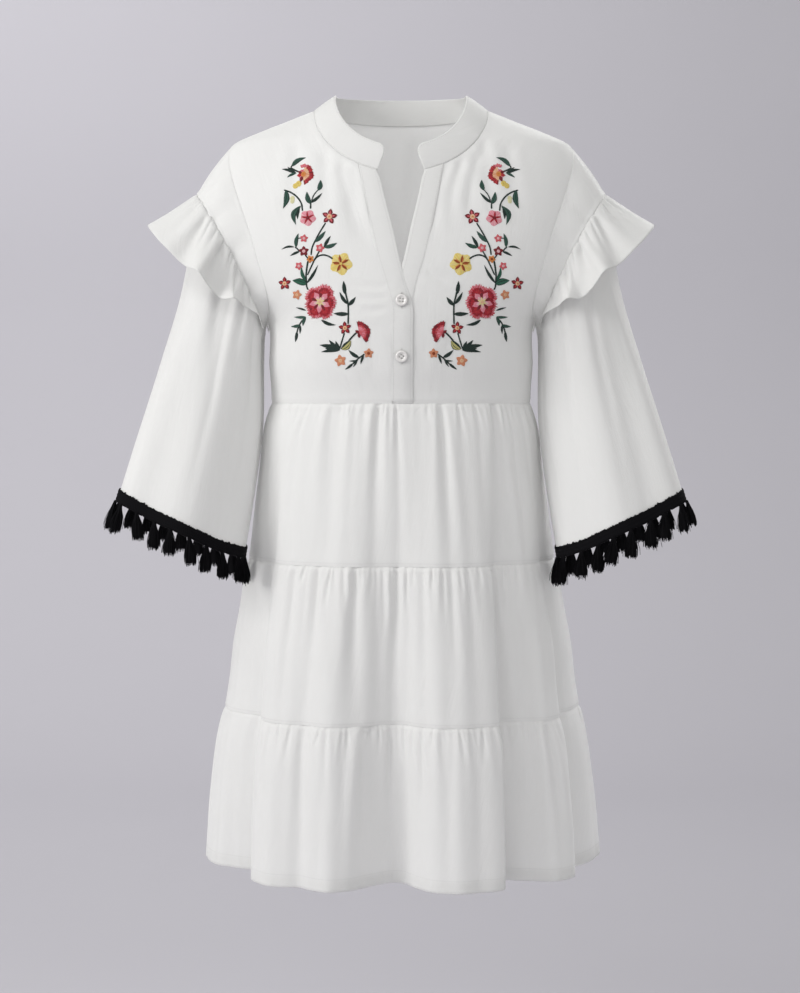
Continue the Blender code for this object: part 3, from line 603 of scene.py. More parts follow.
def new_material(name, **settings):
    """A new material with its tree and its shader, whose sockets are set by name."""
    made = bpy.data.materials.new(name)
    made.use_nodes = True
    tree = made.node_tree
    shader = tree.nodes["Principled BSDF"]
    for socket, value in settings.items():
        shader.inputs[socket.replace("_", " ")].default_value = value
    return made, tree, shader


def node(tree, kind, **inputs):
    made = tree.nodes.new(kind)
    for name, value in inputs.items():
        made.inputs[name.replace("_", " ")].default_value = value
    return made


def math_node(tree, operation, a, b=None):
    made = tree.nodes.new("ShaderNodeMath")
    made.operation = operation
    for socket, value in zip(made.inputs, (a, b)):
        if value is None:
            continue
        if isinstance(value, (int, float)):
            socket.default_value = value
        else:
            tree.links.new(value, socket)
    return made.outputs[0]


def mix_colours(tree, share, low, high):
    ramp = tree.nodes.new("ShaderNodeValToRGB")
    ramp.color_ramp.elements[0].color = (*low, 1)
    ramp.color_ramp.elements[1].color = (*high, 1)
    tree.links.new(share, ramp.inputs[0])
    return ramp.outputs[0]


def object_noise(tree, **settings):
    """Noise in an object's own coordinates."""
    coordinates = tree.nodes.new("ShaderNodeTexCoord")
    noise = node(tree, "ShaderNodeTexNoise", **settings)
    tree.links.new(coordinates.outputs["Object"], noise.inputs["Vector"])
    return noise.outputs[0]


def cloth_noise(tree, uv, scale, **settings):
    """Noise in the cloth's coordinates, scaled across and along it."""
    mapping = node(tree, "ShaderNodeMapping", Scale=(*scale, 1.0))
    noise = node(tree, "ShaderNodeTexNoise", **settings)
    tree.links.new(uv.outputs[0], mapping.inputs[0])
    tree.links.new(mapping.outputs[0], noise.inputs["Vector"])
    return noise.outputs[0]


def bump(tree, height, strength, distance, below=None):
    """A bump's normal, on that of the bump below it where there is one."""
    made = node(tree, "ShaderNodeBump", Strength=strength, Distance=distance)
    tree.links.new(height, made.inputs["Height"])
    if below:
        tree.links.new(below, made.inputs["Normal"])
    return made.outputs[0]


def cloth_coordinates(tree):
    """The cloth's coordinates in metres, whole and split into across and along."""
    uv = tree.nodes.new("ShaderNodeUVMap")
    uv.uv_map = "cloth"
    split = tree.nodes.new("ShaderNodeSeparateXYZ")
    tree.links.new(uv.outputs[0], split.inputs[0])
    return uv, split


WEAVE_PITCH = 0.00042
COTTON_SEE_THROUGH = 0.22


def weave_height(tree):
    """Plain weave from the cloth's own coordinates: threads over and under each other."""
    uv, split = cloth_coordinates(tree)
    turns = math.pi / WEAVE_PITCH
    across = math_node(tree, "SINE", math_node(tree, "MULTIPLY", split.outputs[0], turns))
    down = math_node(tree, "SINE", math_node(tree, "MULTIPLY", split.outputs[1], turns))
    return math_node(tree, "MULTIPLY", across, down), uv


def cotton(name, colour, shade):
    """Thin cotton with its weave, slubs and fine creases, and a little light through it."""
    made, tree, shader = new_material(
        name, Roughness=0.86, Sheen_Weight=0.25, Sheen_Roughness=0.5, Specular_IOR_Level=0.3
    )
    weave, uv = weave_height(tree)
    slub = cloth_noise(tree, uv, (1.0, 0.08), Scale=900.0, Detail=3.0)
    crease = cloth_noise(tree, uv, (110.0, 22.0), Scale=1.0, Detail=4.0, Roughness=0.55, Distortion=0.4)
    broad = object_noise(tree, Scale=9.0, Detail=2.0)
    tone = math_node(tree, "MULTIPLY", math_node(tree, "ADD", slub, broad), 0.5)
    tree.links.new(mix_colours(tree, tone, shade, colour), shader.inputs["Base Color"])
    fine = bump(tree, math_node(tree, "ADD", weave, slub), 0.18, 0.0002)
    soft = bump(tree, crease, 0.45, 0.0012, fine)
    tree.links.new(soft, shader.inputs["Normal"])
    through_light = node(tree, "ShaderNodeBsdfTranslucent", Color=(*colour, 1))
    tree.links.new(soft, through_light.inputs["Normal"])
    both = node(tree, "ShaderNodeMixShader", Fac=COTTON_SEE_THROUGH)
    tree.links.new(shader.outputs[0], both.inputs[1])
    tree.links.new(through_light.outputs[0], both.inputs[2])
    tree.links.new(both.outputs[0], tree.nodes["Material Output"].inputs["Surface"])
    return made


def thread(name, colour, roughness=0.45, sheen=0.3, gloss=0.25):
    """Sewing thread or yarn, with twist and uneven tone."""
    made, tree, shader = new_material(
        name, Roughness=roughness, Sheen_Weight=sheen, Specular_IOR_Level=gloss
    )
    noise = object_noise(tree, Scale=1400.0, Detail=2.0)
    dark = tuple(c * 0.72 for c in colour)
    tree.links.new(mix_colours(tree, noise, dark, colour), shader.inputs["Base Color"])
    tree.links.new(bump(tree, noise, 0.4, 0.0002), shader.inputs["Normal"])
    return made


def pearl(name):
    made, tree, shader = new_material(name, Roughness=0.22, Coat_Weight=0.4)
    noise = object_noise(tree, Scale=220.0, Detail=3.0, Distortion=1.5)
    tone = mix_colours(tree, noise, (0.62, 0.61, 0.60), (0.84, 0.82, 0.80))
    tree.links.new(tone, shader.inputs["Base Color"])
    return made


# Skirt

FRONT_DENSITY = 0.22
HEM_DEPTH = 0.0125
SEAM_STITCH_DROP = 0.004
SEAM_TUCK = 0.0016
LOWER_TUCK = 0.0008
TIER_PUFF = 0.0012
GATHERS_FADE = 0.10

# Hem fold: how far inside the cloth, height above its lower edge
HEM_FOLD = ((0.0004, -0.0004), (0.0011, 0.0006), (0.0012, HEM_DEPTH))


def gather_list(tier, seam_z):
    """Gathers of one tier: angle at the seam, change of angle, length, depth, half width as an angle."""
    width = float(half_width(seam_z))
    rows = []
    uneven = np.random.RandomState(3 + tier)
    for x0, x1, length, depth, reach in GATHERS_FRONT[tier]:
        start = math.asin(np.clip((x0 + uneven.uniform(-2.4, 2.4)) / 1000 / width, -0.985, 0.985))
        end = math.asin(np.clip(x1 / 1000 / (width * 1.02), -0.985, 0.985))
        spread = reach * (0.78 if length < 60 else 1.0) / 1000 / width / max(math.cos(start), 0.35)
        depth = depth * uneven.uniform(0.45, 1.15) * (1.0 if length < 60 else 0.8)
        rows.append((start, end - start, length * uneven.uniform(0.8, 1.5) / 1000, depth / 1000, spread))
    random = np.random.RandomState(11 + tier)
    for x, depth, reach in TIER_FOLDS[tier]:
        start = math.asin(x / 1000 / width / 1.01)
        drift = random.uniform(-0.02, 0.02)
        rows.append((start, drift, random.uniform(0.26, 0.34), depth / 1000, reach / 1000 / width))
    count = GATHERS_BEHIND[tier]
    for i in range(count):
        start = math.pi / 2 + math.pi * (i + 0.5 + random.uniform(-0.3, 0.3)) / count
        long = random.rand() < 0.4
        length = random.uniform(0.12, 0.32) if long else random.uniform(0.018, 0.065)
        depth = random.uniform(2.2, 3.2) if long else random.uniform(1.2, 2.3)
        reach = random.uniform(3.6, 5.4) if long else random.uniform(2.0, 3.2)
        rows.append((start, random.uniform(-0.02, 0.02), length, depth / 1000, reach / 1000 / width))
    return rows


def gathers(angle, drop, rows):
    """How far the gathers move the cloth out, by distance below the seam."""
    total = np.zeros(angle.shape)
    for start, turn, length, depth, reach in rows:
        t = drop / length
        centre = start + turn * np.clip(t, 0, 1.2)
        gap = (angle - centre + math.pi) % (2 * math.pi) - math.pi
        near = np.abs(gap) < 6 * reach
        strength = (0.40 + 0.60 * ease(drop / 0.010)) * ease((1.25 - t) / 1.1)
        width = reach * (0.62 + 0.75 * np.clip(t, 0, 1))
        shape = np.exp(-((gap / width) ** 2)) - 0.42 * np.exp(-(((np.abs(gap) - 1.8 * width) / width) ** 2))
        total -= np.where(near, depth * strength * shape, 0)
    return total


def skirt_tier(name, tier, top, bottom, columns, rows, material, above=None):
    hem = tier == 2
    seam = gather_list(tier, top)
    even = np.linspace(-math.pi / 2, 1.5 * math.pi, columns, endpoint=False)
    angle_line = even - FRONT_DENSITY * np.sin(even)
    share = np.linspace(0, 1, rows)
    drop_line = (top - bottom) * (0.75 * share + 0.25 * share**2)
    angle, drop = np.meshgrid(angle_line, drop_line)
    z = top - drop
    points = skirt(angle, z)
    _, out = level_ways(skirt, angle, z)
    away = gathers(angle, drop, seam)
    if above:
        fade = 1 - ease(drop / GATHERS_FADE)
        away += fade * gathers(angle, np.full(drop.shape, above[1]), above[0])
    away += TIER_PUFF * ease(drop / 0.02) * ease((0.09 - drop) / 0.07)
    away -= SEAM_TUCK * (1 - ease(drop / 0.0035))
    if not hem:
        away -= LOWER_TUCK * ease((drop - (top - bottom) + 0.003) / 0.003)
    points = points + out * away[..., None]
    if hem:
        turned = [points[-1] - out[-1] * inside + np.array((0, 0, up)) for inside, up in HEM_FOLD]
        points = np.concatenate([points, np.stack(turned)])
    obj = cloth(name, points, material, (f"{name}_front", f"{name}_back"), closed=True)
    row = int(np.argmin(np.abs(drop_line - (top - bottom) + (HEM_DEPTH if hem else SEAM_STITCH_DROP))))
    line = np.concatenate([points[row], points[row, :1]])
    lines_out = np.concatenate([out[row], out[row, :1]])
    seam_stitches(f"{name}_stitches", line, lines_out, 0.0003)
    return obj, (seam, top - bottom)


def build_skirt(material):
    """The three tiers: their levels, and the columns and rows of their grids."""
    levels = (WAIST_Z, TIER_2_Z, TIER_3_Z, HEM_Z)
    sizes = ((560, 60), (660, 62), (740, 66))
    above = None
    for tier in range(3):
        name = f"skirt_tier_{tier + 1}"
        columns, rows = sizes[tier]
        obj, above = skirt_tier(name, tier, levels[tier], levels[tier + 1], columns, rows, material, above)


# Bodice


def armhole(turn, side):
    x = through(turn, ARMHOLE[:, 0], ARMHOLE[:, 1])
    z = through(turn, ARMHOLE[:, 0], ARMHOLE[:, 2])
    if side < 0:
        x = x + ARMHOLE_BACK_EASE * np.sin(np.radians(turn))
    angle = angle_at(x, z)
    angle = np.where((turn == 0) | (turn == 180), math.pi / 2, angle)
    return (angle if side > 0 else math.pi - angle), z


def neckline(turn):
    x = NECK_HALF_WIDTH * np.cos(np.radians(turn)) ** (2 / NECK_ROUNDNESS)
    z = -NECK_DROP_FRONT * np.sin(np.radians(turn)) ** (2 / NECK_ROUNDNESS)
    angle = np.where(turn == 0, math.pi / 2, angle_at(x, z))
    return angle, z


def back_neckline(share):
    return edge(math.pi / 2 * (1 + share), -NECK_DROP_BACK * ease(share))


def band_turn():
    """Where the seam of a front band meets the neckline, in degrees round it."""
    return math.degrees(math.acos((BANDS[-1, 3] / NECK_HALF_WIDTH) ** (NECK_ROUNDNESS / 2)))


def mirrored(line):
    """A line of angles and heights, on the wearer's other side."""
    return np.stack([2 * math.pi - line[:, 0], line[:, 1]], axis=-1)


def neck_at(x):
    return -NECK_DROP_FRONT * (1 - np.abs(x / NECK_HALF_WIDTH) ** NECK_ROUNDNESS) ** (1 / NECK_ROUNDNESS)


def edge(angles, heights):
    return np.stack(np.broadcast_arrays(angles, heights), axis=-1).astype(float)


def outer_edge(side, rows_side, rows_arm):
    turns = np.linspace(180, 0, rows_arm)
    angle, z = armhole(turns, side)
    heights = np.concatenate([np.linspace(WAIST_Z, z[0], rows_side, endpoint=False), z])
    angles = np.concatenate([np.full(rows_side, math.pi / 2), angle])
    return edge(angles, heights)


def inner_edge(rows_side, rows_arm, seam):
    count = rows_side + rows_arm
    neck = int(count * 0.36)
    lower = count - neck
    share = np.linspace(0, 1, lower)
    z = WAIST_Z + (BANDS[-1, 0] - WAIST_Z) * (0.62 * share + 0.38 * share**2.2)
    x = np.abs(through(z, BANDS[:, 0], BANDS[:, seam])) - UNDER_BAND * ease((BANDS[-1, 0] - z) / 0.03)
    angle, height = neckline(np.linspace(band_turn(), 0, neck + 1)[1:])
    return edge(np.concatenate([angle_at(x, z), angle]), np.concatenate([z, height]))


def patch(start, end, top):
    u = np.linspace(0, 1, len(top))[None, :, None]
    v = np.linspace(0, 1, len(start))[:, None, None]
    across = (1 - u) * start[:, None] + u * end[:, None]
    return across + v**3 * (top[None] - across[-1])


def straight(a, b, count):
    return a + (b - a) * np.linspace(0, 1, count)[:, None]


def front_folds(side):
    return [row[1:] for row in FRONT_FOLDS if row[0] == side]


def front_point(x, z, side, height=0.0):
    """A point on a front, x metres from the middle on that side, with its folds, height above the cloth."""
    angle = angle_at(x, z)
    base, normal = body(angle, z), body_normal(angle, z)
    lift = troughs(np.abs(x) * 1000, z * 1000, front_folds(side)) / 1000 + height
    made = base + normal * lift[..., None]
    return made if side == "left" else made * np.array((-1, 1, 1))


STITCH_LENGTH = 0.0021
STITCH_PITCH = 0.0029
STITCH_WIDTH = 0.00032


def along_line(line, pitch):
    """Places at equal steps along a line of points, as indices with fractions."""
    steps = np.linalg.norm(np.diff(line, axis=0), axis=-1)
    reach = np.concatenate([[0], np.cumsum(steps)])
    return np.interp(np.arange(pitch, reach[-1] - pitch, pitch), reach, np.arange(len(line)))


def sampled(line, at):
    low = np.clip(at.astype(int), 0, len(line) - 2)
    share = (at - low)[:, None]
    return line[low] * (1 - share) + line[low + 1] * share


def seam_stitches(name, line, normal, lift, length=STITCH_LENGTH, pitch=STITCH_PITCH, width=STITCH_WIDTH):
    """A row of sewing stitches along a line on the cloth, each a small domed dash."""
    at = along_line(line, pitch)
    middle, out = sampled(line, at), unit(sampled(normal, at))
    way = unit(sampled(np.gradient(line, axis=0), at))
    side = unit(np.cross(way, out))
    dash = [
        middle - way * length / 2 + out * (lift - 0.0005),
        middle + way * length / 2 + out * (lift - 0.0005),
        middle - side * width + out * (lift - 0.0002),
        middle + side * width + out * (lift - 0.0002),
        middle + out * (lift + width * 0.8),
    ]
    verts = np.stack(dash, axis=1)
    faces = []
    for k in range(len(at)):
        s = 5 * k
        faces += [(s, s + 2, s + 4), (s + 3, s, s + 4), (s + 2, s + 1, s + 4), (s + 1, s + 3, s + 4)]
    obj = mesh_object(name, verts, faces, [SEWING])
    return finish_piece(obj)


ROWS_SIDE, ROWS_ARM = 44, 120
UNDER_BAND = 0.0012
ARMHOLE_TUCK = 0.0006


def tuck(rows, columns, edges, depth=0.0012, reach=3):
    """How far the cloth turns in at its sewn edges, as a grid. Edges names the sides that turn in."""
    i = np.arange(rows)[:, None].repeat(columns, axis=1)
    j = np.arange(columns)[None, :].repeat(rows, axis=0)
    gaps = {"bottom": i, "top": rows - 1 - i, "start": j, "end": columns - 1 - j}
    total = np.zeros((rows, columns))
    for name in edges:
        total = np.maximum(total, depth * (1 - ease(gaps[name] / reach)))
    return total


def build_fronts(material):
    columns = 112
    for side, seam in (("left", 3), ("right", 1)):
        start, end = inner_edge(ROWS_SIDE, ROWS_ARM, seam), outer_edge(1, ROWS_SIDE, ROWS_ARM)
        flat = patch(start, end, straight(start[-1], end[-1], columns))
        angle, z = flat[..., 0], flat[..., 1]
        base, normal = body(angle, z), body_normal(angle, z)
        turned = tuck(*angle.shape, ("bottom",)) + tuck(*angle.shape, ("end",), ARMHOLE_TUCK)
        lift = troughs(base[..., 0] * 1000, z * 1000, front_folds(side)) / 1000 - turned
        points = base + normal * lift[..., None]
        points = flipped(points, side)
        obj = cloth(f"front_{side}", points[::-1], material, (f"front_{side}",))


def build_back(material):
    half = 64
    left = outer_edge(-1, ROWS_SIDE, ROWS_ARM)
    seam = straight(left[-1], np.array([math.pi / 2, 0.0]), half // 3)
    neck = back_neckline(np.linspace(0, 1, half - len(seam) + 1)[1:])
    top_half = np.concatenate([seam, neck])
    top = np.concatenate([top_half, mirrored(top_half[::-1])[1:]])
    flat = patch(left, mirrored(left), top)
    angle, z = flat[..., 0], flat[..., 1]
    base, normal = body(angle, z), body_normal(angle, z)
    lift = troughs(base[..., 0] * 1000, z * 1000, BACK_FOLDS) / 1000
    lift -= tuck(*angle.shape, ("bottom", "start", "end"))
    points = (base + normal * lift[..., None])[::-1]
    obj = cloth("back", points, material, ("back",))


BAND_COLUMNS = 26
UNDER_BAND_TRIM = 0.006


def band_points(seam, free, upper):
    """Rows of points up a band, from its seam to its free edge, with their normals."""
    share = np.linspace(0, 1, 120)
    z_line = WAIST_Z + (BANDS[-1, 0] - WAIST_Z) * share
    first = through(z_line, BANDS[:, 0], BANDS[:, seam])
    last = through(z_line, BANDS[:, 0], BANDS[:, free])
    if not upper:
        last = last + UNDER_BAND_TRIM * ease((-0.246 - z_line) / 0.02)
    across = np.linspace(0, 1, BAND_COLUMNS)
    x = first[:, None] + (last - first)[:, None] * across
    z = np.broadcast_to(z_line[:, None], x.shape).copy()
    rise = ease((z - BANDS[-1, 0] + 0.02) / 0.02)
    z = z + rise * (neck_at(x[-1]) - BANDS[-1, 0])[None]
    angle = angle_at(x, z)
    normal = body_normal(angle, z)
    puff = 0.0005 * np.sin(np.pi * across) ** 0.7
    lift = np.broadcast_to(puff, x.shape).copy()
    groove = 0.0007 * (1 - ease(across / 0.06))[None] * (0.25 if upper else 1.0)
    if upper:
        overlap = 0.3 + 0.7 * ease((-0.200 - z) / 0.05)
        lift += BAND_LIFT * ease(across / 0.75)[None] * overlap
        lift += 0.0005 * np.sin(z / 0.012) * ease((across - 0.6) / 0.4)[None] * ease((-0.27 - z) / 0.02)
    lift -= groove
    lift -= (0.0026 if upper else 0.0012) * (1 - ease((z - WAIST_Z) / 0.005))
    return body(angle, z) + normal * lift[..., None], normal


def build_bands(material):
    for name, seam, free in (("placket_right", 1, 2), ("placket_left", 3, 4)):
        points, normal = band_points(seam, free, name == "placket_right")
        wall = folded(points.transpose(1, 0, 2), -normal.transpose(1, 0, 2), 0.0009)
        if seam == 3:
            wall = wall[:, ::-1]
        obj = cloth(name, wall, material, (name,), wrapped=True)
        seam_stitches(f"{name}_seam_stitches", points[:, 3], normal[:, 3], 0.0004)
        seam_stitches(f"{name}_edge_stitches", points[:, -4], normal[:, -4], 0.0004)


def collar_path(count=40):
    x = np.linspace(BANDS[-1, 4], BANDS[-1, 3], 14)[:-1]
    band = edge(angle_at(x, neck_at(x)), neck_at(x))
    front = edge(*neckline(np.linspace(band_turn(), 0, count)))
    half = np.concatenate([band, front, back_neckline(np.linspace(0, 1, count)[1:])])
    return np.concatenate([half, mirrored(half[:-1])[::-1]])


def folded(points, inward, thickness, rounds=4):
    """A closed wall from a grid of points: down the inside, round the last row, and closed at both ends."""
    turns = np.linspace(0, math.pi, rounds + 2)[1:-1]
    last, way = points[-1], inward[-1]
    along = unit(points[-1] - points[-2])
    half = thickness / 2
    rim = [last + way * half * (1 - math.cos(a)) + along * half * math.sin(a) for a in turns]
    inside = (points + inward * thickness)[::-1]
    section = np.concatenate([points, np.stack(rim), inside])
    rows = len(points)
    middles = np.concatenate([points, np.stack(rim), points[::-1]])
    middles = middles + np.concatenate([inward, np.stack([way] * rounds), inward[::-1]]) * thickness / 2
    middles[rows:rows + rounds] = (last + way * thickness / 2 + along * thickness / 3)[None]
    ends = []
    for j, away in ((0, 1), (-1, -2)):
        outwards = unit(points[:, j] - points[:, away])
        outwards = np.concatenate([outwards, np.stack([outwards[-1]] * rounds), outwards[::-1]])
        ends.append(middles[:, j] + outwards * thickness / 2)
    return np.concatenate([ends[0][:, None], section, ends[1][:, None]], axis=1)


def collar_points():
    path = collar_path()
    base = body(path[:, 0], path[:, 1])
    behind = path[:, 0] > math.pi
    base[:, 0] = np.where(behind, -np.abs(base[:, 0]), base[:, 0])
    normal = body_normal(path[:, 0], path[:, 1])
    out = unit(normal * np.array((1, 1, 0)))
    from_back = np.degrees(np.abs(np.arctan2(base[:, 0], base[:, 1])))
    rise = unit(through(from_back, COLLAR_RISE[:, 0], COLLAR_RISE[:, 1:]))
    rise[:, 0] *= np.sign(base[:, 0])
    steps = np.linalg.norm(np.diff(base, axis=0), axis=-1)
    along = np.concatenate([[0], np.cumsum(steps)])
    near = np.clip(np.minimum(along, along[-1] - along) / COLLAR_CORNER, 0, 1)
    height = COLLAR_HEIGHT - COLLAR_CORNER * (1 - np.sqrt(1 - (1 - near) ** 2))
    shares = np.linspace(0, 1, 22)
    points = np.stack([base + rise * (0.0002 + share * height[:, None]) for share in shares])
    inward = unit(np.cross(np.gradient(base, axis=0), rise))
    inward = inward * np.sign(-(inward * out).sum(axis=-1, keepdims=True))
    puff = 0.0008 * np.sin(np.pi * shares) ** 0.6 - 0.0003 * (1 - ease(shares / 0.08))
    points = points - inward[None] * puff[:, None, None]
    return points, np.broadcast_to(inward[None], points.shape)


def build_collar(material):
    points, inward = collar_points()
    wall = folded(points, inward, 0.0012)
    obj = cloth("collar", wall[:, ::-1], material, ("collar",), wrapped=True)
    seam_stitches("collar_stitches", points[1], -inward[1], 0.0004)
    seam_stitches("collar_edge_stitches", points[-2], -inward[-2], 0.0004)


# Sleeves


def sleeve_ring(turn, place):
    ring = [through(place, SLEEVE[:, 0], SLEEVE[:, i]) for i in range(1, 8)]
    inner_x, inner_z, outer_x, outer_z, depth, middle_y, bow = ring
    along, across = np.cos(turn), np.sin(turn)
    half_x, half_z = (outer_x - inner_x) / 2, (outer_z - inner_z) / 2
    length = np.hypot(half_x, half_z)
    square = 1 + 0.5 * np.where(along < 0, along**2, 0) * (1 - ease((place - SEAM_AT) / 0.5))
    x = inner_x + half_x * (1 + along) - bow * across**2 * half_z / length
    z = inner_z + half_z * (1 + along) + bow * across**2 * half_x / length
    return point(x, middle_y - depth * square * across, z)


def sleeve(turn, place):
    base = sleeve_ring(turn, place)
    degrees = (np.degrees(turn) + 180) % 360 - 180
    grown = ease((place - 0.25) / 0.7)
    away = through(degrees, SLEEVE_FOLDS[:, 0], SLEEVE_FOLDS[:, 1]) * grown
    return base + normals(sleeve_ring, turn, place) * away[..., None]


def flounce(turn, share):
    degrees = np.degrees(turn)
    width = through(np.abs(degrees), FLOUNCE[:, 0], FLOUNCE[:, 1])
    flare = through(np.abs(degrees), FLOUNCE[:, 0], FLOUNCE[:, 2])
    root = sleeve_ring(turn, SEAM_AT + 0.001)
    out = normals(sleeve_ring, turn, SEAM_AT + 0.001)
    down = unit(sleeve_ring(turn, SEAM_AT + 0.02) - sleeve_ring(turn, SEAM_AT))
    sheet = down * np.cos(flare)[..., None] + out * np.sin(flare)[..., None]
    across = out * np.cos(flare)[..., None] - down * np.sin(flare)[..., None]
    wave = through(degrees, FLOUNCE_WAVES[:, 0], FLOUNCE_WAVES[:, 1]) * np.maximum(share, 0) ** 1.4
    opened = (width * share)[..., None]
    emerge = 0.0018 * ease(share / 0.05) - 0.0006
    return root + out * emerge[..., None] + sheet * opened + across * wave[..., None]


# Folds down the cap: angle and share at its start, the same at its end, depth in mm, half width in degrees
CAP_FOLDS = (
    (20, 0.0, 14, 1.0, 1.2, 5), (42, 0.0, 34, 1.0, 1.8, 5), (70, 0.05, 58, 1.0, 2.2, 6),
    (96, 0.0, 88, 1.0, 2.0, 6), (124, 0.1, 118, 1.0, 1.4, 6),
    (-30, 0.0, -26, 1.0, 1.4, 6), (-64, 0.0, -60, 1.0, 1.8, 7), (-100, 0.1, -96, 1.0, 1.4, 7),
)


def build_cap(side, material):
    turns = np.linspace(-180, 180, 200, endpoint=False)
    ahead = (turns >= 0)[:, None]
    size = np.abs(turns)
    start = np.where(ahead, body(*armhole(size, 1)), body(*armhole(size, -1)))
    end = sleeve_ring(np.radians(turns), SEAM_AT)
    shares = np.linspace(0, 1, 34)
    points = np.stack([start + (end - start) * share for share in shares])
    normal = grid_normals(points, closed=True)
    centre = points.mean(axis=1, keepdims=True)
    normal = normal * np.sign(((points - centre) * normal).sum(axis=-1, keepdims=True))
    lift = np.zeros(points.shape[:2])
    for t0, s0, t1, s1, depth, reach in CAP_FOLDS:
        at = t0 + (t1 - t0) * (shares - s0) / (s1 - s0)
        gap = turns[None] - at[:, None]
        strength = ease(shares / 0.15) * (0.35 + 0.65 * ease(shares))
        lift -= depth / 1000 * strength[:, None] * np.exp(-((gap / reach) ** 2))
    bulge = 0.0020 * np.sin(np.pi * shares) + 0.0007 * ease((shares - 0.9) / 0.08)
    lift += bulge[:, None] * np.clip(np.cos(np.radians(turns)) + 0.5, 0, 1)[None]
    lift -= ARMHOLE_TUCK * (1 - ease(shares / 0.05))[:, None]
    points = points + normal * lift[..., None]
    points = flipped(points, side)
    obj = cloth(f"sleeve_cap_{side}", points, material, (f"sleeve_cap_{side}",), closed=True)


def build_bell(side, material):
    turns = np.linspace(-math.pi, math.pi, 200, endpoint=False)
    places = np.linspace(SEAM_AT, 1.0, 118)
    turn, place = np.meshgrid(turns, places)
    points = sleeve(turn, place)
    normal = normals(sleeve, turn, np.clip(place, SEAM_AT + 1e-3, 1 - 1e-3))
    random = np.random.RandomState(5 if side == "left" else 6)
    lift = np.zeros(turn.shape)
    for _ in range(30):
        at, drift = random.uniform(-math.pi, math.pi), random.uniform(-0.25, 0.25)
        length, depth = random.uniform(0.3, 1.3), random.uniform(1.2, 3.4)
        reach = random.uniform(0.07, 0.18)
        t = (place - SEAM_AT) / length
        gap = (turn - at - drift * t + math.pi) % (2 * math.pi) - math.pi
        lift -= depth / 1000 * ease(t / 0.1) * ease(1 - t) * np.exp(-((gap / reach) ** 2))
    points = points + normal * lift[..., None]
    points = flipped(points, side)
    obj = cloth(f"sleeve_{side}", points, material, (f"sleeve_{side}",), closed=True)


# Folds down the flounce: angle, length as a share of its width, depth in mm, half width in degrees
FLOUNCE_FOLDS = (
    (6, 1.2, 2.0, 6), (22, 0.9, 1.6, 4), (33, 1.3, 3.0, 6), (50, 1.4, 4.5, 5), (58, 0.7, 1.6, 3),
    (66, 0.9, 1.4, 4), (78, 1.6, 6.0, 5), (90, 0.8, 1.6, 3), (100, 1.5, 4.0, 5), (112, 0.8, 1.6, 4),
    (124, 1.4, 2.4, 5),
)


def build_flounce(side, material):
    end = math.radians(FLOUNCE_END)
    turns = np.linspace(-end, end, 320)
    shares = np.linspace(0, 1, 32)
    turn, share = np.meshgrid(turns, shares)
    points = flounce(turn, share)
    normal = normals(flounce, turn, share)
    random = np.random.RandomState(21)
    lift = np.zeros(turn.shape)
    for at, length, depth, reach in FLOUNCE_FOLDS:
        for way in (1, -1):
            gap = turn - way * math.radians(at)
            strength = (0.3 + 0.7 * ease(share / 0.2)) * ease((1.3 - share / length) / 0.9)
            lift -= depth / 1000 * strength * np.exp(-((gap / (math.radians(reach) * (0.5 + share))) ** 2))
    count = 64
    for i in range(count):
        at = -end + 2 * end * (i + 0.5 + random.uniform(-0.35, 0.35)) / count
        length = random.uniform(0.10, 0.28) if random.rand() < 0.7 else random.uniform(0.35, 0.7)
        depth, reach = random.uniform(0.7, 1.8), random.uniform(0.016, 0.030)
        t = share / length
        strength = (0.5 + 0.5 * ease(share / 0.08)) * ease(1 - t)
        lift -= depth / 1000 * strength * np.exp(-(((turn - at) / (reach * (0.7 + t * 0.6))) ** 2))
    points = points + normal * lift[..., None]
    points = flipped(points, side)
    obj = cloth(f"sleeve_flounce_{side}", points, material, (f"sleeve_flounce_{side}",), thickness=0.0006)


# Braid and tassels

BRAID_FROM = 0.971
BRAID_HEIGHT = 0.0014
BRAID_RIB = 0.00045
BRAID_PAST_EDGE = 0.0013
TASSELS = 19
TASSEL_DROP = 0.033
TASSEL_THREADS = 96
THREAD_RADIUS = 0.00042
TASSEL_SWAY = 0.22

# Tassel: share of its drop, radius
TASSEL_SHAPE = np.array([
    (0.00, 0.0017),
    (0.12, 0.0018),
    (0.22, 0.0034),
    (0.36, 0.0054),
    (0.55, 0.0074),
    (0.80, 0.0086),
    (1.00, 0.0080),
])


def cuff_line(count=1441):
    turns = np.linspace(0, 2 * math.pi, count)
    line = sleeve(turns, 1.0)
    steps = np.linalg.norm(np.diff(line, axis=0), axis=-1)
    return turns, np.concatenate([[0], np.cumsum(steps)])


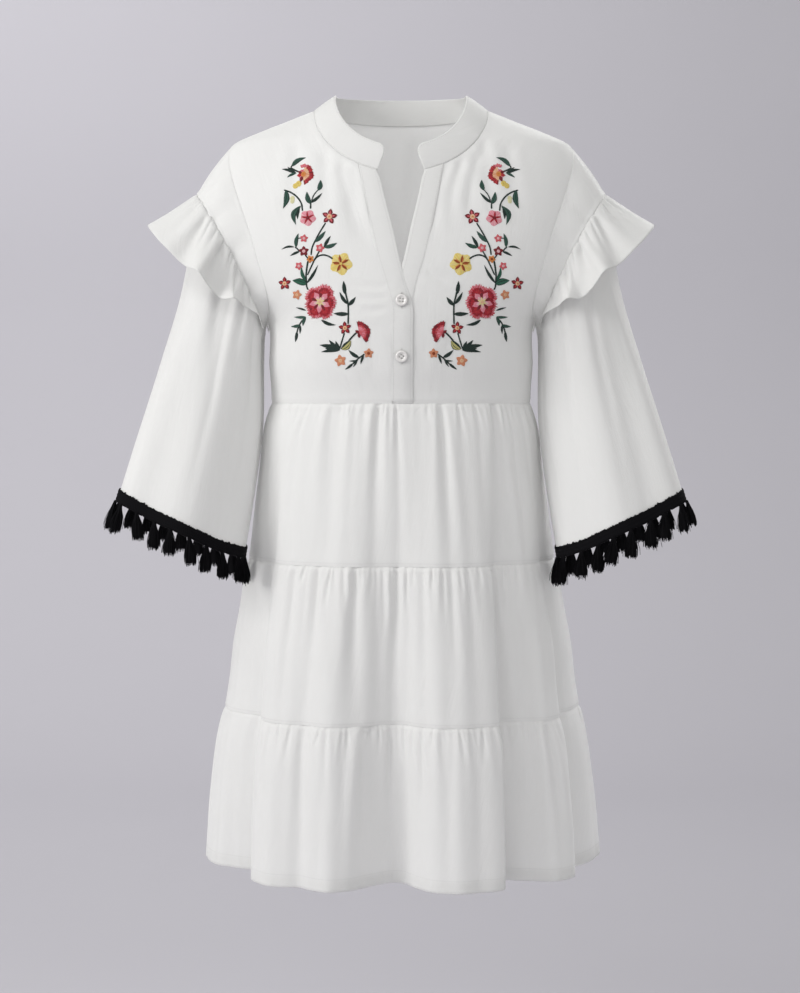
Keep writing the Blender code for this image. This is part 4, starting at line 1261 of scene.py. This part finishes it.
def build_braid(side, material):
    turns, along = cuff_line()
    columns = 660
    at = np.linspace(0, along[-1], columns, endpoint=False)
    turn_line = np.interp(at, along, turns)
    cords = 3
    shares = np.linspace(0, 1, 15)
    random = np.random.RandomState(31)
    rough = np.convolve(random.normal(0, 1, columns + 4), (0.2, 0.6, 0.2), "same")[2:-2]
    rough_low = np.convolve(random.normal(0, 1, columns + 4), (0.2, 0.6, 0.2), "same")[2:-2]
    turn, share = np.meshgrid(turn_line, shares)
    place = BRAID_FROM + (1.0 - BRAID_FROM) * share
    place = place + 0.0019 * rough * (1 - ease(share / 0.1)) + 0.0015 * rough_low * ease((share - 0.9) / 0.1)
    base = sleeve(turn, np.minimum(place, 1.0))
    base[..., 2] -= BRAID_PAST_EDGE * ease((share - 0.85) / 0.15)
    normal = normals(sleeve, turn, np.clip(place, 0, 1 - 1e-3))
    slant = np.where(np.floor(share * cords * 0.999) % 2 == 0, 1, -1)
    twist = np.sin(2 * math.pi * (at[None] / 0.0022 + slant * share * 1.3))
    round_cord = np.abs(np.sin(math.pi * share * cords)) ** 0.6
    lift = BRAID_HEIGHT + BRAID_RIB * (round_cord + 0.55 * twist * round_cord)
    outer = base + normal * lift[..., None]
    top = base[:1] + normal[:1] * 0.0001
    low = base[-1:] - normal[-1:] * 0.0010
    inner = sleeve(turn[:1], np.full_like(turn[:1], 0.985)) - normal[:1] * 0.0009
    points = np.concatenate([top, outer, low, inner])
    points = flipped(points, side)
    faces = grid_faces(len(points), columns, closed=True)
    obj = mesh_object(f"braid_{side}", points, faces.tolist(), [material])
    finish_piece(obj, (f"cuff_trim_{side}",))


def tube_faces(count, rings, sides):
    """Faces of many open tubes whose rings follow each other."""
    i, j, k = np.meshgrid(np.arange(count), np.arange(rings - 1), np.arange(sides), indexing="ij")
    start = (i * rings + j) * sides
    after = (k + 1) % sides
    quads = np.stack([start + k, start + sides + k, start + sides + after, start + after], axis=-1)
    return quads.reshape(-1, 4)


def thread_tubes(paths, radii, sides=3):
    """Vertices of thin tubes along paths: one path for each thread, a radius for each of its places."""
    way = unit(np.gradient(paths, axis=1))
    aside = unit(np.cross(way, np.array((0.31, 0.93, 0.2))))
    other = np.cross(way, aside)
    angles = np.arange(sides) * 2 * math.pi / sides
    ring = aside[:, :, None] * np.cos(angles)[:, None] + other[:, :, None] * np.sin(angles)[:, None]
    return (paths[:, :, None] + ring * radii[:, :, None, None]).reshape(-1, 3)


def tassel(root, out, along, sway, random):
    """Threads of one tassel, then its core and winding, each as verts and faces."""
    drop = TASSEL_DROP * random.uniform(0.84, 0.98)
    wide = random.uniform(0.84, 1.04)
    flat = random.uniform(0.55, 0.75)
    lean = along * random.uniform(-0.10, 0.10) + out * (random.uniform(0.0, 0.10) + sway)
    turn = random.uniform(0, 2 * math.pi, TASSEL_THREADS)
    layer = np.sqrt(random.uniform(0.25, 1.0, TASSEL_THREADS))
    length = drop * random.normal(0.99, 0.045, TASSEL_THREADS) * (1.03 - 0.13 * layer**4)
    stray = np.where(random.rand(TASSEL_THREADS) < 0.08, random.uniform(1.2, 1.6, TASSEL_THREADS), 1.0)
    shares = np.linspace(0.02, 1, 5)
    radius = through(shares, TASSEL_SHAPE[:, 0], TASSEL_SHAPE[:, 1]) * wide
    grow = 1 + (stray[:, None] - 1) * shares[None] ** 2
    reach = radius[None] * layer[:, None] * grow
    swirl = turn[:, None] + random.normal(0, 0.12, TASSEL_THREADS)[:, None] * shares[None]
    down = length[:, None] * shares[None]
    paths = (
        root
        + along * (np.cos(swirl) * reach)[..., None]
        + out * (np.sin(swirl) * reach * flat + 0.0006)[..., None]
        + (lean - np.array((0, 0, 1))) * down[..., None]
    )
    size = THREAD_RADIUS * np.linspace(1.0, 0.75, 5)
    verts = thread_tubes(paths, np.broadcast_to(size, down.shape))
    faces = tube_faces(TASSEL_THREADS, 5, 3)
    return [(verts, faces), *tassel_core(root, out, along, lean, drop, wide, max(flat, 0.7))]


def tassel_core(root, out, along, lean, drop, wide, flat):
    """The dark middle of a tassel and the winding round its head, as verts and faces."""
    parts = []
    core_shares = np.linspace(0.0, 0.93, 7)
    core_radius = through(core_shares, TASSEL_SHAPE[:, 0], TASSEL_SHAPE[:, 1]) * wide * 0.78
    winding_shares = np.linspace(0.0, 0.13, 10)
    winding_radius = 0.0023 + 0.00035 * np.abs(np.sin(np.arange(10) * math.pi / 3))
    for spots, sizes in ((core_shares, core_radius), (winding_shares, winding_radius)):
        angles = np.linspace(0, 2 * math.pi, 14, endpoint=False)
        ring = (
            root
            + along * (np.cos(angles)[None] * sizes[:, None])[..., None]
            + out * (np.sin(angles)[None] * sizes[:, None] * flat)[..., None]
            + (lean - np.array((0, 0, 1))) * (spots * drop)[:, None, None]
        )
        parts.append((ring.reshape(-1, 3), grid_faces(len(spots), 14, closed=True)))
    return parts


def build_tassels(side, material):
    turns, along = cuff_line()
    pitch = along[-1] / TASSELS
    random = np.random.RandomState(41 if side == "left" else 42)
    verts, faces, count = [], [], 0
    for i in range(TASSELS):
        place = (i + 0.5 + random.uniform(-0.10, 0.10)) * pitch
        turn = np.interp(place, along, turns)
        root = sleeve(np.array(turn), np.array(1.0))
        normal = normals(sleeve, np.array(turn), np.array(0.999))
        out = unit(normal * np.array((1, 1, 0)))
        way = np.array((-out[1], out[0], 0.0))
        root = root + normal * 0.0012
        sway = TASSEL_SWAY * float(ease((math.cos(turn) - 0.3) / 0.7))
        for made, quads in tassel(root, out, way, sway, random):
            verts.append(made)
            faces.append(quads + count)
            count += len(made)
    verts = np.concatenate(verts)
    faces = np.concatenate(faces)
    if side == "right":
        verts = verts * np.array((-1, 1, 1))
        faces = faces[:, ::-1]
    obj = mesh_object(f"tassels_{side}", verts, faces.tolist(), [material])
    finish_piece(obj, (f"cuff_trim_{side}",))


# Buttons

BUTTON_RADIUS = 0.0068
BUTTON_GAP = 0.0006
BUTTON_GRID = 61
HOLE_DEPTH = 0.0014
BUTTON_LEVELS = (-0.229, -0.291)
BUTTON_X = 0.0006
HOLE_RADIUS = 0.00085
HOLE_APART = 0.0030
BUTTONHOLE_LENGTH = 0.0175

# Button: share of its radius, height above its underside
BUTTON_PROFILE = np.array([
    (0.00, 0.0015),
    (0.45, 0.0016),
    (0.58, 0.0021),
    (0.74, 0.0025),
    (0.90, 0.0022),
    (0.98, 0.0015),
    (1.00, 0.0009),
])


def button_frame(z):
    """The middle of a button on the band, and the ways out, right and up from there."""
    angle = angle_at(np.array(BUTTON_X), np.array(z))
    base, normal = body(angle, np.array(z)), body_normal(angle, np.array(z))
    right = unit(np.cross(normal, np.array((0, 0, 1.0))) * -1)
    right = right * np.sign(right[0])
    up = unit(np.cross(normal, right)) * -1
    return base + normal * (BAND_LIFT + BUTTON_GAP), normal, right, up * np.sign(up[2])


def on_button(place, x, y, height):
    """Points across, up and out from the middle of a button."""
    middle, normal, right, up = place
    return middle + right * x[..., None] + up * y[..., None] + normal * height[..., None]


def hole(turn, k):
    """The middle of one of the four holes, across and up."""
    angle = turn + math.pi / 2 * k
    return math.cos(angle) * HOLE_APART / math.sqrt(2), math.sin(angle) * HOLE_APART / math.sqrt(2)


def button_face(place, turn):
    """A round grid of points over the button, with its raised rim and its holes."""
    lines = np.linspace(-1, 1, BUTTON_GRID)
    gx, gy = np.meshgrid(lines, lines)
    square = np.maximum(np.abs(gx), np.abs(gy))
    round_ = np.maximum(np.hypot(gx, gy), 1e-9)
    gx, gy = gx * square / round_, gy * square / round_
    height = through(np.hypot(gx, gy), BUTTON_PROFILE[:, 0], BUTTON_PROFILE[:, 1])
    for k in range(4):
        hx, hy = hole(turn, k)
        gap = np.hypot(gx * BUTTON_RADIUS - hx, gy * BUTTON_RADIUS - hy)
        height = height - HOLE_DEPTH * (1 - ease((gap - HOLE_RADIUS * 0.8) / 0.0003))
    return on_button(place, gx * BUTTON_RADIUS, gy * BUTTON_RADIUS, height)


def button_bars(place, turn):
    """Paths of the sewing thread: two strands from hole to hole, twice."""
    bars = []
    for a, b in ((0, 1), (2, 3)):
        for side in (-0.00022, 0.00022):
            (x0, y0), (x1, y1) = hole(turn, a), hole(turn, b)
            t = np.linspace(0, 1, 7)
            nx, ny = -(y1 - y0) / HOLE_APART * side * 2, (x1 - x0) / HOLE_APART * side * 2
            height = 0.0008 + 0.0012 * np.sin(math.pi * t) ** 0.5
            bars.append(on_button(place, x0 + (x1 - x0) * t + nx, y0 + (y1 - y0) * t + ny, height))
    return np.stack(bars)


def build_button(number, z, material, sewing):
    place = button_frame(z)
    turn = math.radians(38 if number == 1 else 8)
    faces = grid_faces(BUTTON_GRID, BUTTON_GRID)
    face = button_face(place, turn)
    obj = mesh_object(f"pearl_button_{number}", face, faces[:, ::-1].tolist(), [material])
    finish_piece(obj, (f"button_{number}",))
    paths = button_bars(place, turn)
    verts = thread_tubes(paths, np.full(paths.shape[:2], 0.00026), sides=5)
    thread_obj = mesh_object(f"button_thread_{number}", verts, tube_faces(4, 7, 5).tolist(), [sewing])
    finish_piece(thread_obj)
    ring_line = np.linspace(0, 2 * math.pi, 90)
    wave = np.sin(ring_line)
    oval_y = BUTTONHOLE_LENGTH / 2 * np.sign(wave) * np.abs(wave) ** 0.6
    line = on_button(place, 0.0011 * np.cos(ring_line), oval_y, np.full(ring_line.shape, -0.0003))
    seam_stitches(f"buttonhole_{number}", line, np.broadcast_to(place[1], line.shape), 0.0001,
                  length=0.0009, pitch=0.0005, width=0.0005)


# Embroidery: its places are across from the middle of the front and up, in millimetres

SATIN_PITCH = 0.42
RIBBED_WIDTH = 3.2


class Satin:
    """Patches of satin stitch: grids of places on the front, with height, thread place and colour."""

    def __init__(self):
        self.places, self.heights, self.threads, self.faces, self.colours = [], [], [], [], []
        self.count = 0

    def add(self, x, z, height, u, v, colour):
        rows, columns = x.shape
        self.places.append(np.stack([x, z], axis=-1).reshape(-1, 2))
        self.heights.append(height.ravel())
        self.threads.append(np.stack(np.broadcast_arrays(u, v), axis=-1).reshape(-1, 2))
        faces = grid_faces(rows, columns, start=self.count)
        self.faces.append(faces)
        across = [colour] * (columns - 1) if isinstance(colour, str) else list(colour)
        self.colours += across * (rows - 1)
        self.count += rows * columns


def jagged(count, size, seed):
    return np.random.RandomState(seed).uniform(-size, size, count)


def leaf(satin, foot, tip, width, bend, colour, layer, seed):
    """A pointed leaf with slanted stitches that meet at its middle line."""
    foot, tip = np.array(foot, dtype=float), np.array(tip, dtype=float)
    way = tip - foot
    length = float(np.hypot(*way))
    way = way / length
    left = np.array((-way[1], way[0]))
    rows = max(9, int(length / 0.75))
    s = np.linspace(0, 1, rows)[:, None]
    v = np.linspace(-1, 1, 9)[None, :]
    shape = np.sin(np.pi * s**0.75) ** 0.85
    half = np.maximum(width / 2 * shape, 0.35 * (1 - s**6)) + 0.02
    half = half * (1 + jagged((rows, 1), 0.07, seed + int(length * 37)))
    middle = foot + way * (s * length) + left * (bend * np.sin(np.pi * s))
    x = middle[:, :1] + left[0] * half * v
    z = middle[:, 1:] + left[1] * half * v
    height = layer + 0.18 + 0.50 * np.sqrt(np.maximum(1 - v**2, 0)) * np.minimum(half / 1.4, 1)
    if width > RIBBED_WIDTH:
        height = height - 0.26 * np.exp(-((v / 0.16) ** 2)) * ease(s / 0.1) * ease((1 - s) / 0.25)
    height = height - 0.25 * (np.abs(v) > 0.99)
    u = s * length * 0.8 + np.abs(v) * half * 0.9
    inner = [colour, colour, colour, "dark"] if width > RIBBED_WIDTH else [colour] * 4
    satin.add(x, z, height + 0 * s, u, v * half, ["dark", *inner[1:], *inner[:3], "dark"])


def stem(satin, points, width, colour):
    """A line of slanted stitches along a smooth path."""
    points = np.array(points, dtype=float)
    places = np.concatenate([[0], np.cumsum(np.hypot(*np.diff(points, axis=0).T))])
    rows = max(8, int(places[-1] / 0.8))
    at = np.linspace(0, places[-1], rows)
    line = through(at, places, points)
    way = unit(np.gradient(line, axis=0))
    left = np.stack([-way[:, 1], way[:, 0]], axis=-1)
    v = np.linspace(-1, 1, 5)[None, :]
    half = width / 2 * (1 + jagged((rows, 1), 0.10, rows))
    half[0] *= 0.5
    half[-1] *= 0.5
    x = line[:, :1] + left[:, :1] * half * v
    z = line[:, 1:] + left[:, 1:] * half * v
    height = 0.16 + 0.48 * np.sqrt(np.maximum(1 - v**2, 0)) - 0.2 * (np.abs(v) > 0.99)
    satin.add(x, z, height + 0 * half, at[:, None] * 0.75 + v * half * 0.8, v * half, colour)


def ring(satin, centre, inner, outer, start, end, colour, layer=0.0, ragged=0.0, lobes=0, depth=0.0,
         seed=0):
    """Part of a ring of stitches that run outwards, lobed like petals, in one thread or several."""
    start, end = math.radians(start), math.radians(end)
    columns = max(10, int(abs(end - start) * outer / 0.5))
    a = np.linspace(start, end, columns)[None, :]
    s = np.linspace(0, 1, 6)[:, None]
    wave = 1 - depth * (0.5 - 0.5 * np.cos(lobes * (a - start))) if lobes else 1.0
    edge_out = outer * wave + jagged((1, columns), ragged, seed + columns)
    edge_in = inner * (wave if inner > outer * 0.3 else 1.0)
    edge_in = edge_in + jagged((1, columns), ragged * (inner > 0.5), seed + 7)
    radius = edge_in + (edge_out - edge_in) * s
    x = centre[0] + radius * np.cos(a)
    z = centre[1] + radius * np.sin(a)
    height = layer + 0.18 + 0.42 * np.sqrt(np.maximum(1 - (2 * s - 1) ** 2, 0))
    height = height - 0.2 * ((s < 0.01) | (s > 0.99))
    if not isinstance(colour, str):
        colour = np.random.RandomState(seed + columns).choice(colour, columns - 1)
    satin.add(x, z, height + 0 * a, a * (inner + outer) / 2 + 0 * s, radius, colour)


def petal(satin, centre, angle, inner, outer, width, colour, layer=0.0, seed=0):
    """A rounded petal whose stitches run along it."""
    way = np.array((math.cos(angle), math.sin(angle)))
    left = np.array((-way[1], way[0]))
    s = np.linspace(0, 1, 11)[:, None]
    v = np.linspace(-1, 1, 9)[None, :]
    half = width / 2 * np.sin(np.pi * np.clip(s * 0.86 + 0.10, 0, 1)) ** 0.7 + 0.03
    half = half * (1 + jagged((11, 1), 0.05, seed + 3))
    reach = inner + (outer - inner) * s * (1 + 0.05 * np.cos(v * math.pi) * s)
    x = centre[0] + way[0] * reach + left[0] * half * v
    z = centre[1] + way[1] * reach + left[1] * half * v
    domed = np.sin(np.pi * np.clip(s, 0.03, 0.97)) ** 0.4
    height = layer + 0.18 + 0.5 * np.sqrt(np.maximum(1 - v**2, 0)) * domed
    satin.add(x, z, height, v * half, s * (outer - inner), colour)


def beside(centre, way, distance):
    return centre[0] + math.cos(way) * distance, centre[1] + math.sin(way) * distance


def knots(satin, centre, radius, colour, layer, count, size):
    """Knots round a centre, and one on it."""
    for k in range(count):
        off = 0 if k == count - 1 else radius
        ring(satin, beside(centre, 2 * math.pi * k / (count - 1), off), 0.0, size, 0, 360, colour, layer)


def fan(satin, centre, size, turn):
    """A flower seen from the side, with a red fringe over half of it."""
    ring(satin, centre, 0.0, size * 0.72, turn - 88, turn + 84, ("peach", "peach", "coral"), 0.0, 0.3)
    ring(satin, centre, 0.0, size * 0.5, turn + 70, turn + 280, ("pink", "rose"), 0.0, 0.5)
    reds = ("red", "red", "dark_red")
    ring(satin, centre, size * 0.52, size, turn - 84, turn + 66, reds, 0.12, 0.9, 5, 0.10)
    ring(satin, centre, size * 0.66, size * 0.98, turn + 66, turn + 112, ("rose", "pink"), 0.06, 0.8)
    petal(satin, centre, math.radians(turn + 150), size * 0.1, size * 0.62, size * 0.30, "dark_red", 0.2)
    petal(satin, centre, math.radians(turn + 190), size * 0.1, size * 0.62, size * 0.34, "red", 0.2)
    petal(satin, centre, math.radians(turn + 248), size * 0.2, size * 0.74, size * 0.34, "dark_red", 0.2)
    ring(satin, centre, 0.0, size * 0.3, 0, 360, "orange", 0.22, 0.3)


def bud(satin, centre, size, turn, colour):
    """Two round patches, one past the other."""
    for step, wide in ((-0.45, 0.9), (0.35, 1.0)):
        spot = beside(centre, math.radians(turn), size * step)
        ring(satin, spot, 0.0, size * 0.62 * wide, 0, 360, colour, 0.0, 0.35)


def star(satin, centre, size, turn):
    """A pink flower of five lobes with crimson rays."""
    ring(satin, centre, 0.3, size, turn + 36, turn + 396, ("pink", "pink", "blush"), 0.0, 0.25, 5, 0.16)
    for k in range(5):
        petal(satin, centre, math.radians(turn + 72 * k), 0.0, size * 0.80, size * 0.24, "crimson", 0.35)
    ring(satin, centre, 0.0, size * 0.24, 0, 360, "dark_red", 0.45)


def star_yellow(satin, centre, size, turn):
    """A yellow flower of five lobes with brown and orange rays."""
    yellows = ("yellow", "yellow", "cream_yellow")
    ring(satin, centre, 0.3, size * 1.02, turn + 36, turn + 396, yellows, 0.0, 0.3, 5, 0.20)
    for k in range(5):
        way = turn + 72 * k
        petal(satin, centre, math.radians(way), 1.2, size * 0.74, size * 0.24, "brown", 0.35)
        petal(satin, centre, math.radians(way + 14), 1.4, size * 0.62, size * 0.13, "orange", 0.30)
    ring(satin, centre, 0.0, size * 0.14, 0, 360, "yellow", 0.45)


def five_petals(satin, centre, size, turn, colour):
    """Five dark petals, each with a stripe, round a peach centre."""
    for k in range(5):
        way = math.radians(turn + 72 * k)
        petal(satin, centre, way, size * 0.22, size, size * 0.60, "dark_red", 0.02 * k)
        petal(satin, centre, way, size * 0.30, size * 0.78, size * 0.26, colour, 0.26)
    ring(satin, centre, 0.0, size * 0.36, 0, 360, "peach", 0.35, 0.2)
    ring(satin, centre, 0.0, size * 0.14, 0, 360, "orange", 0.55)


def small_flower(satin, centre, size, turn, outer, inner, knotted=False):
    """Five plain petals round a centre, which may have knots."""
    for k in range(5):
        petal(satin, centre, math.radians(turn + 72 * k), size * 0.1, size, size * 0.72, outer, 0.02 * k)
    ring(satin, centre, 0.0, size * 0.36, 0, 360, inner, 0.30, 0.15)
    if knotted:
        knots(satin, centre, size * 0.42, "orange", 0.35, 4, 0.55)


def half_moon(satin, centre, size, turn):
    """Half of a flower, with dark lobes round it and two petals behind."""
    ring(satin, centre, 0.0, size * 0.66, turn - 78, turn + 74, ("pink", "rose"), 0.0, 0.4)
    ring(satin, centre, 0.0, size * 0.34, turn - 70, turn + 66, "rose", 0.15, 0.2)
    reds = ("dark_red", "dark_red", "crimson")
    ring(satin, centre, size * 0.60, size * 1.06, turn - 80, turn + 76, reds, 0.12, 0.8, 5, 0.08)
    ring(satin, centre, size * 0.56, size * 0.74, turn - 76, turn + 72, ("red", "rose"), 0.22, 0.5)
    petal(satin, centre, math.radians(turn + 118), 0.0, size * 0.40, size * 0.28, "dark_red", 0.2)
    petal(satin, centre, math.radians(turn - 112), 0.0, size * 0.44, size * 0.28, "dark_red", 0.2)


# Lobes of the large flower: angle, distance from its centre and radius as shares of its size
ROSE_LOBES = (
    (62, 0.52, 0.54),
    (138, 0.48, 0.52),
    (200, 0.46, 0.46),
    (238, 0.60, 0.44),
    (300, 0.58, 0.48),
    (350, 0.50, 0.46),
)


def rose(satin, centre, size, turn):
    """The large flower: lobes of dark red with a pink fringe, pink inner petals and a yellow centre."""
    fringe, deep = ("pink", "rose", "red"), ("dark_red", "crimson", "crimson")
    for k, (angle, reach, radius) in enumerate(ROSE_LOBES):
        spot = beside(centre, math.radians(angle + turn), size * reach)
        start, outer = angle + turn - 125, size * radius
        ring(satin, spot, outer * 0.60, outer * 1.12, start, start + 250, fringe, 0.02 * k, 1.5, seed=k)
    for k, (angle, reach, radius) in enumerate(ROSE_LOBES):
        spot = beside(centre, math.radians(angle + turn), size * reach)
        outer = size * radius
        ring(satin, spot, outer * 0.30, outer * 0.90, 0, 360, deep, 0.14 + 0.02 * k, 0.9, seed=20 + k)
        ring(satin, spot, 0.0, outer * 0.56, 0, 360, ("red", "crimson"), 0.26 + 0.02 * k, 0.6, seed=30 + k)
    inner, out = size * 0.05, size
    for k in range(5):
        way = math.radians(12 + 72 * k + turn)
        petal(satin, centre, way, inner, out * 0.58, out * 0.34, "dark_red", 0.42, seed=k)
    for k in range(5):
        way = math.radians(48 + 72 * k + turn)
        petal(satin, centre, way, inner, out * 0.66, out * 0.42, "pink", 0.48, seed=10 + k)
        petal(satin, centre, way, inner, out * 0.46, out * 0.24, "blush", 0.60, seed=15 + k)
    for k in range(6):
        way = math.radians(20 + 60 * k + turn)
        petal(satin, centre, way, 0.0, size * 0.30, size * 0.13, "cream_yellow", 0.74)
    ring(satin, centre, 0.0, size * 0.12, 0, 360, "peach", 0.85)


# Kinds of flower: the function that makes each, and what it is told
FLOWER_KINDS = {
    "fan": (fan,),
    "bud": (bud, "yellow"),
    "pale_bud": (bud, "cream"),
    "star": (star,),
    "star_yellow": (star_yellow,),
    "petals_red": (five_petals, "rose"),
    "petals_dark": (five_petals, "red"),
    "ring_pink": (small_flower, "rose", "blush"),
    "ring_red": (small_flower, "dark_red", "blush"),
    "ring_orange": (small_flower, "orange", "brown"),
    "ring_peach": (small_flower, "coral", "peach", True),
    "ring_brown": (small_flower, "coral", "brown"),
    "half_moon": (half_moon,),
    "rose": (rose,),
}

# Colours of the embroidery threads
THREADS = {
    "dark": (0.008, 0.026, 0.020),
    "green": (0.030, 0.095, 0.068),
    "bright": (0.020, 0.120, 0.070),
    "lime": (0.56, 0.52, 0.20),
    "red": (0.52, 0.030, 0.038),
    "crimson": (0.40, 0.008, 0.022),
    "dark_red": (0.19, 0.008, 0.016),
    "rose": (0.66, 0.12, 0.14),
    "pink": (0.80, 0.27, 0.34),
    "blush": (0.88, 0.50, 0.52),
    "peach": (0.88, 0.52, 0.32),
    "coral": (0.70, 0.28, 0.15),
    "orange": (0.70, 0.25, 0.06),
    "brown": (0.30, 0.050, 0.008),
    "yellow": (0.86, 0.62, 0.16),
    "cream_yellow": (0.85, 0.70, 0.32),
    "cream": (0.80, 0.76, 0.46),
}


def satin_thread(name, colour):
    """Embroidery thread: its bump follows each stitch, and its colour carries painted shade in the grooves
    between stitches and painted light on their crests, over random strand tone.
    """
    made, tree, shader = new_material(
        f"thread_{name}", Roughness=0.5, Sheen_Weight=0.04, Specular_IOR_Level=0.3
    )
    uv, split = cloth_coordinates(tree)
    turns = 2 * math.pi / (SATIN_PITCH / 1000)
    wave = math_node(tree, "SINE", math_node(tree, "MULTIPLY", split.outputs[0], turns))
    strand = cloth_noise(tree, uv, (2400.0, 160.0), Scale=1.0, Detail=2.0)
    # Painted shade and light: the stitch wave darkens the colour in the grooves and lightens it on the
    # crests; the strand noise is random tone
    tone = math_node(tree, "ADD", math_node(tree, "MULTIPLY", wave, 0.16), strand)
    low = tuple(c * 0.55 for c in colour)
    high = tuple(min(c * 1.2 + 0.004, 0.95) for c in colour)
    tree.links.new(mix_colours(tree, tone, low, high), shader.inputs["Base Color"])
    height = math_node(tree, "ADD", math_node(tree, "MULTIPLY", wave, 0.5), strand)
    tree.links.new(bump(tree, height, 0.6, 0.0003), shader.inputs["Normal"])
    return made


def build_embroidery(threads):
    satin = Satin()
    for row in STEMS:
        width, places = row[0], row[1:]
        stem(satin, [(-x, -z) for x, z in places], width, "dark")
    for k, (x0, z0, x1, z1, width, bend, colour) in enumerate(LEAVES):
        leaf(satin, (-x0, -z0), (-x1, -z1), width, bend, colour, 0.10, k)
    for kind, x, z, size, turn in FLOWERS:
        make, *colours = FLOWER_KINDS[kind]
        make(satin, (-x, -z), size, turn, *colours)
    places = np.concatenate(satin.places) / 1000
    heights = np.concatenate(satin.heights) / 1000 + 0.00012
    uvs = np.concatenate(satin.threads) / 1000
    faces = np.concatenate(satin.faces)
    names = sorted(THREADS)
    indices = [names.index(c) for c in satin.colours]
    for side in ("right", "left"):
        x = -places[:, 0]
        points = front_point(x, places[:, 1], side, heights)
        turned = faces[:, ::-1] if side == "right" else faces
        obj = mesh_object(f"embroidery_{side}", points, turned.tolist(), [threads[n] for n in names],
                          indices=indices, uvs=uvs)
        finish_piece(obj)


# Camera and studio

IMAGE_HEIGHT = 993
FOCAL_PIXELS = 1797
CAMERA_DISTANCE = 2.12
CAMERA_X = -0.0012
CAMERA_HEIGHT = -0.340
HORIZON_PIXELS = 400
SENSOR = 36.0
FLOOR_Z = -1.42
BACK_WALL_Y = 4.4
WALL_TOP_Z = 3.2
SWEEP_RADIUS = 1.6
SWEEP_STEPS = 16
SWEEP_HALF_WIDTH = 5.0
PAPER_COLOURS = (0.556, 0.546, 0.585), (0.566, 0.556, 0.595)
AIR_COLOUR = (1.0, 0.995, 0.985, 1)
AIR_STRENGTH = 0.565

# Lights: name, place, the place it points at, size, watts, colour, spread in degrees
LIGHTS = (
    ("key", (-2.85, -1.5, 0.62), (0, 0, -0.55), (1.2, 1.6), 57, (1.0, 0.995, 0.98), 180),
    ("fill", (2.2, -2.8, 0.1), (0, 0, -0.5), (2.0, 2.0), 11, (1.0, 1.0, 1.0), 180),
    ("top", (-0.7, -1.5, 1.3), (0.02, 0.05, -0.1), (0.9, 0.7), 9, (1.0, 1.0, 1.0), 180),
    ("back", (1.3, 1.9, 1.5), (0, 0.05, -0.35), (1.2, 1.0), 5, (1.0, 1.0, 1.0), 50),
    ("wall", (-1.6, 2.2, 1.9), (-0.6, 4.4, -0.3), (4.0, 1.2), 42, (1.0, 0.99, 1.0), 180),
)


def build_camera():
    data = bpy.data.cameras.new("camera")
    data.sensor_width = SENSOR
    data.lens = SENSOR * FOCAL_PIXELS / IMAGE_HEIGHT
    data.shift_y = (HORIZON_PIXELS - IMAGE_HEIGHT / 2) / IMAGE_HEIGHT
    camera = bpy.data.objects.new("camera", data)
    camera.location = (CAMERA_X, -CAMERA_DISTANCE, CAMERA_HEIGHT)
    camera.rotation_euler = (math.pi / 2, 0, 0)
    bpy.context.scene.collection.objects.link(camera)
    bpy.context.scene.camera = camera


def build_sweep():
    """Studio paper that curves from the floor up to the wall."""
    made, tree, shader = new_material("studio_paper", Roughness=0.95)
    noise = object_noise(tree, Scale=3.0, Detail=2.0)
    tree.links.new(mix_colours(tree, noise, *PAPER_COLOURS), shader.inputs["Base Color"])
    curve = [(y, FLOOR_Z) for y in (-3.5, -1.0, BACK_WALL_Y - SWEEP_RADIUS)]
    for i in range(1, SWEEP_STEPS + 1):
        a = math.pi / 2 * i / SWEEP_STEPS
        y = BACK_WALL_Y - SWEEP_RADIUS + SWEEP_RADIUS * math.sin(a)
        curve.append((y, FLOOR_Z + SWEEP_RADIUS * (1 - math.cos(a))))
    curve.append((BACK_WALL_Y, WALL_TOP_Z))
    verts = [(x, y, z) for y, z in curve for x in (-SWEEP_HALF_WIDTH, SWEEP_HALF_WIDTH)]
    faces = [(2 * i, 2 * i + 1, 2 * i + 3, 2 * i + 2) for i in range(len(curve) - 1)]
    sweep = mesh_object("studio_sweep", verts, faces, [made])


def area_light(name, place, target, size, power, colour, spread):
    data = bpy.data.lights.new(name, "AREA")
    data.shape = "RECTANGLE"
    data.size, data.size_y = size
    data.energy = power
    data.spread = math.radians(spread)
    data.color = colour
    lamp = bpy.data.objects.new(name, data)
    lamp.location = place
    away = np.array(place, dtype=float) - np.array(target, dtype=float)
    yaw = math.atan2(away[0], -away[1])
    pitch = math.atan2(math.hypot(away[0], away[1]), away[2])
    lamp.rotation_euler = (pitch, 0, yaw)
    bpy.context.scene.collection.objects.link(lamp)


def build_studio():
    build_sweep()
    for row in LIGHTS:
        area_light(*row)
    world = bpy.data.worlds.new("studio_air")
    world.use_nodes = True
    world.node_tree.nodes["Background"].inputs["Color"].default_value = AIR_COLOUR
    world.node_tree.nodes["Background"].inputs["Strength"].default_value = AIR_STRENGTH
    bpy.context.scene.world = world
    bpy.context.scene.view_settings.view_transform = "Standard"


COTTON = cotton("white_cotton", (0.86, 0.86, 0.85), (0.80, 0.80, 0.79))
SEWING = thread("sewing_thread", (0.80, 0.80, 0.79), 0.5)
BLACK = thread("black_yarn", (0.0040, 0.0038, 0.0050), 0.85, 0.0, 0.09)
PEARL = pearl("pearl_button")
build_skirt(COTTON)
build_fronts(COTTON)
build_back(COTTON)
build_bands(COTTON)
build_collar(COTTON)
for SIDE in ("left", "right"):
    build_cap(SIDE, COTTON)
    build_bell(SIDE, COTTON)
    build_flounce(SIDE, COTTON)
    build_braid(SIDE, BLACK)
    build_tassels(SIDE, BLACK)
for NUMBER, LEVEL in enumerate(BUTTON_LEVELS):
    build_button(NUMBER + 1, LEVEL, PEARL, SEWING)
build_embroidery({name: satin_thread(name, colour) for name, colour in THREADS.items()})
build_camera()
build_studio()
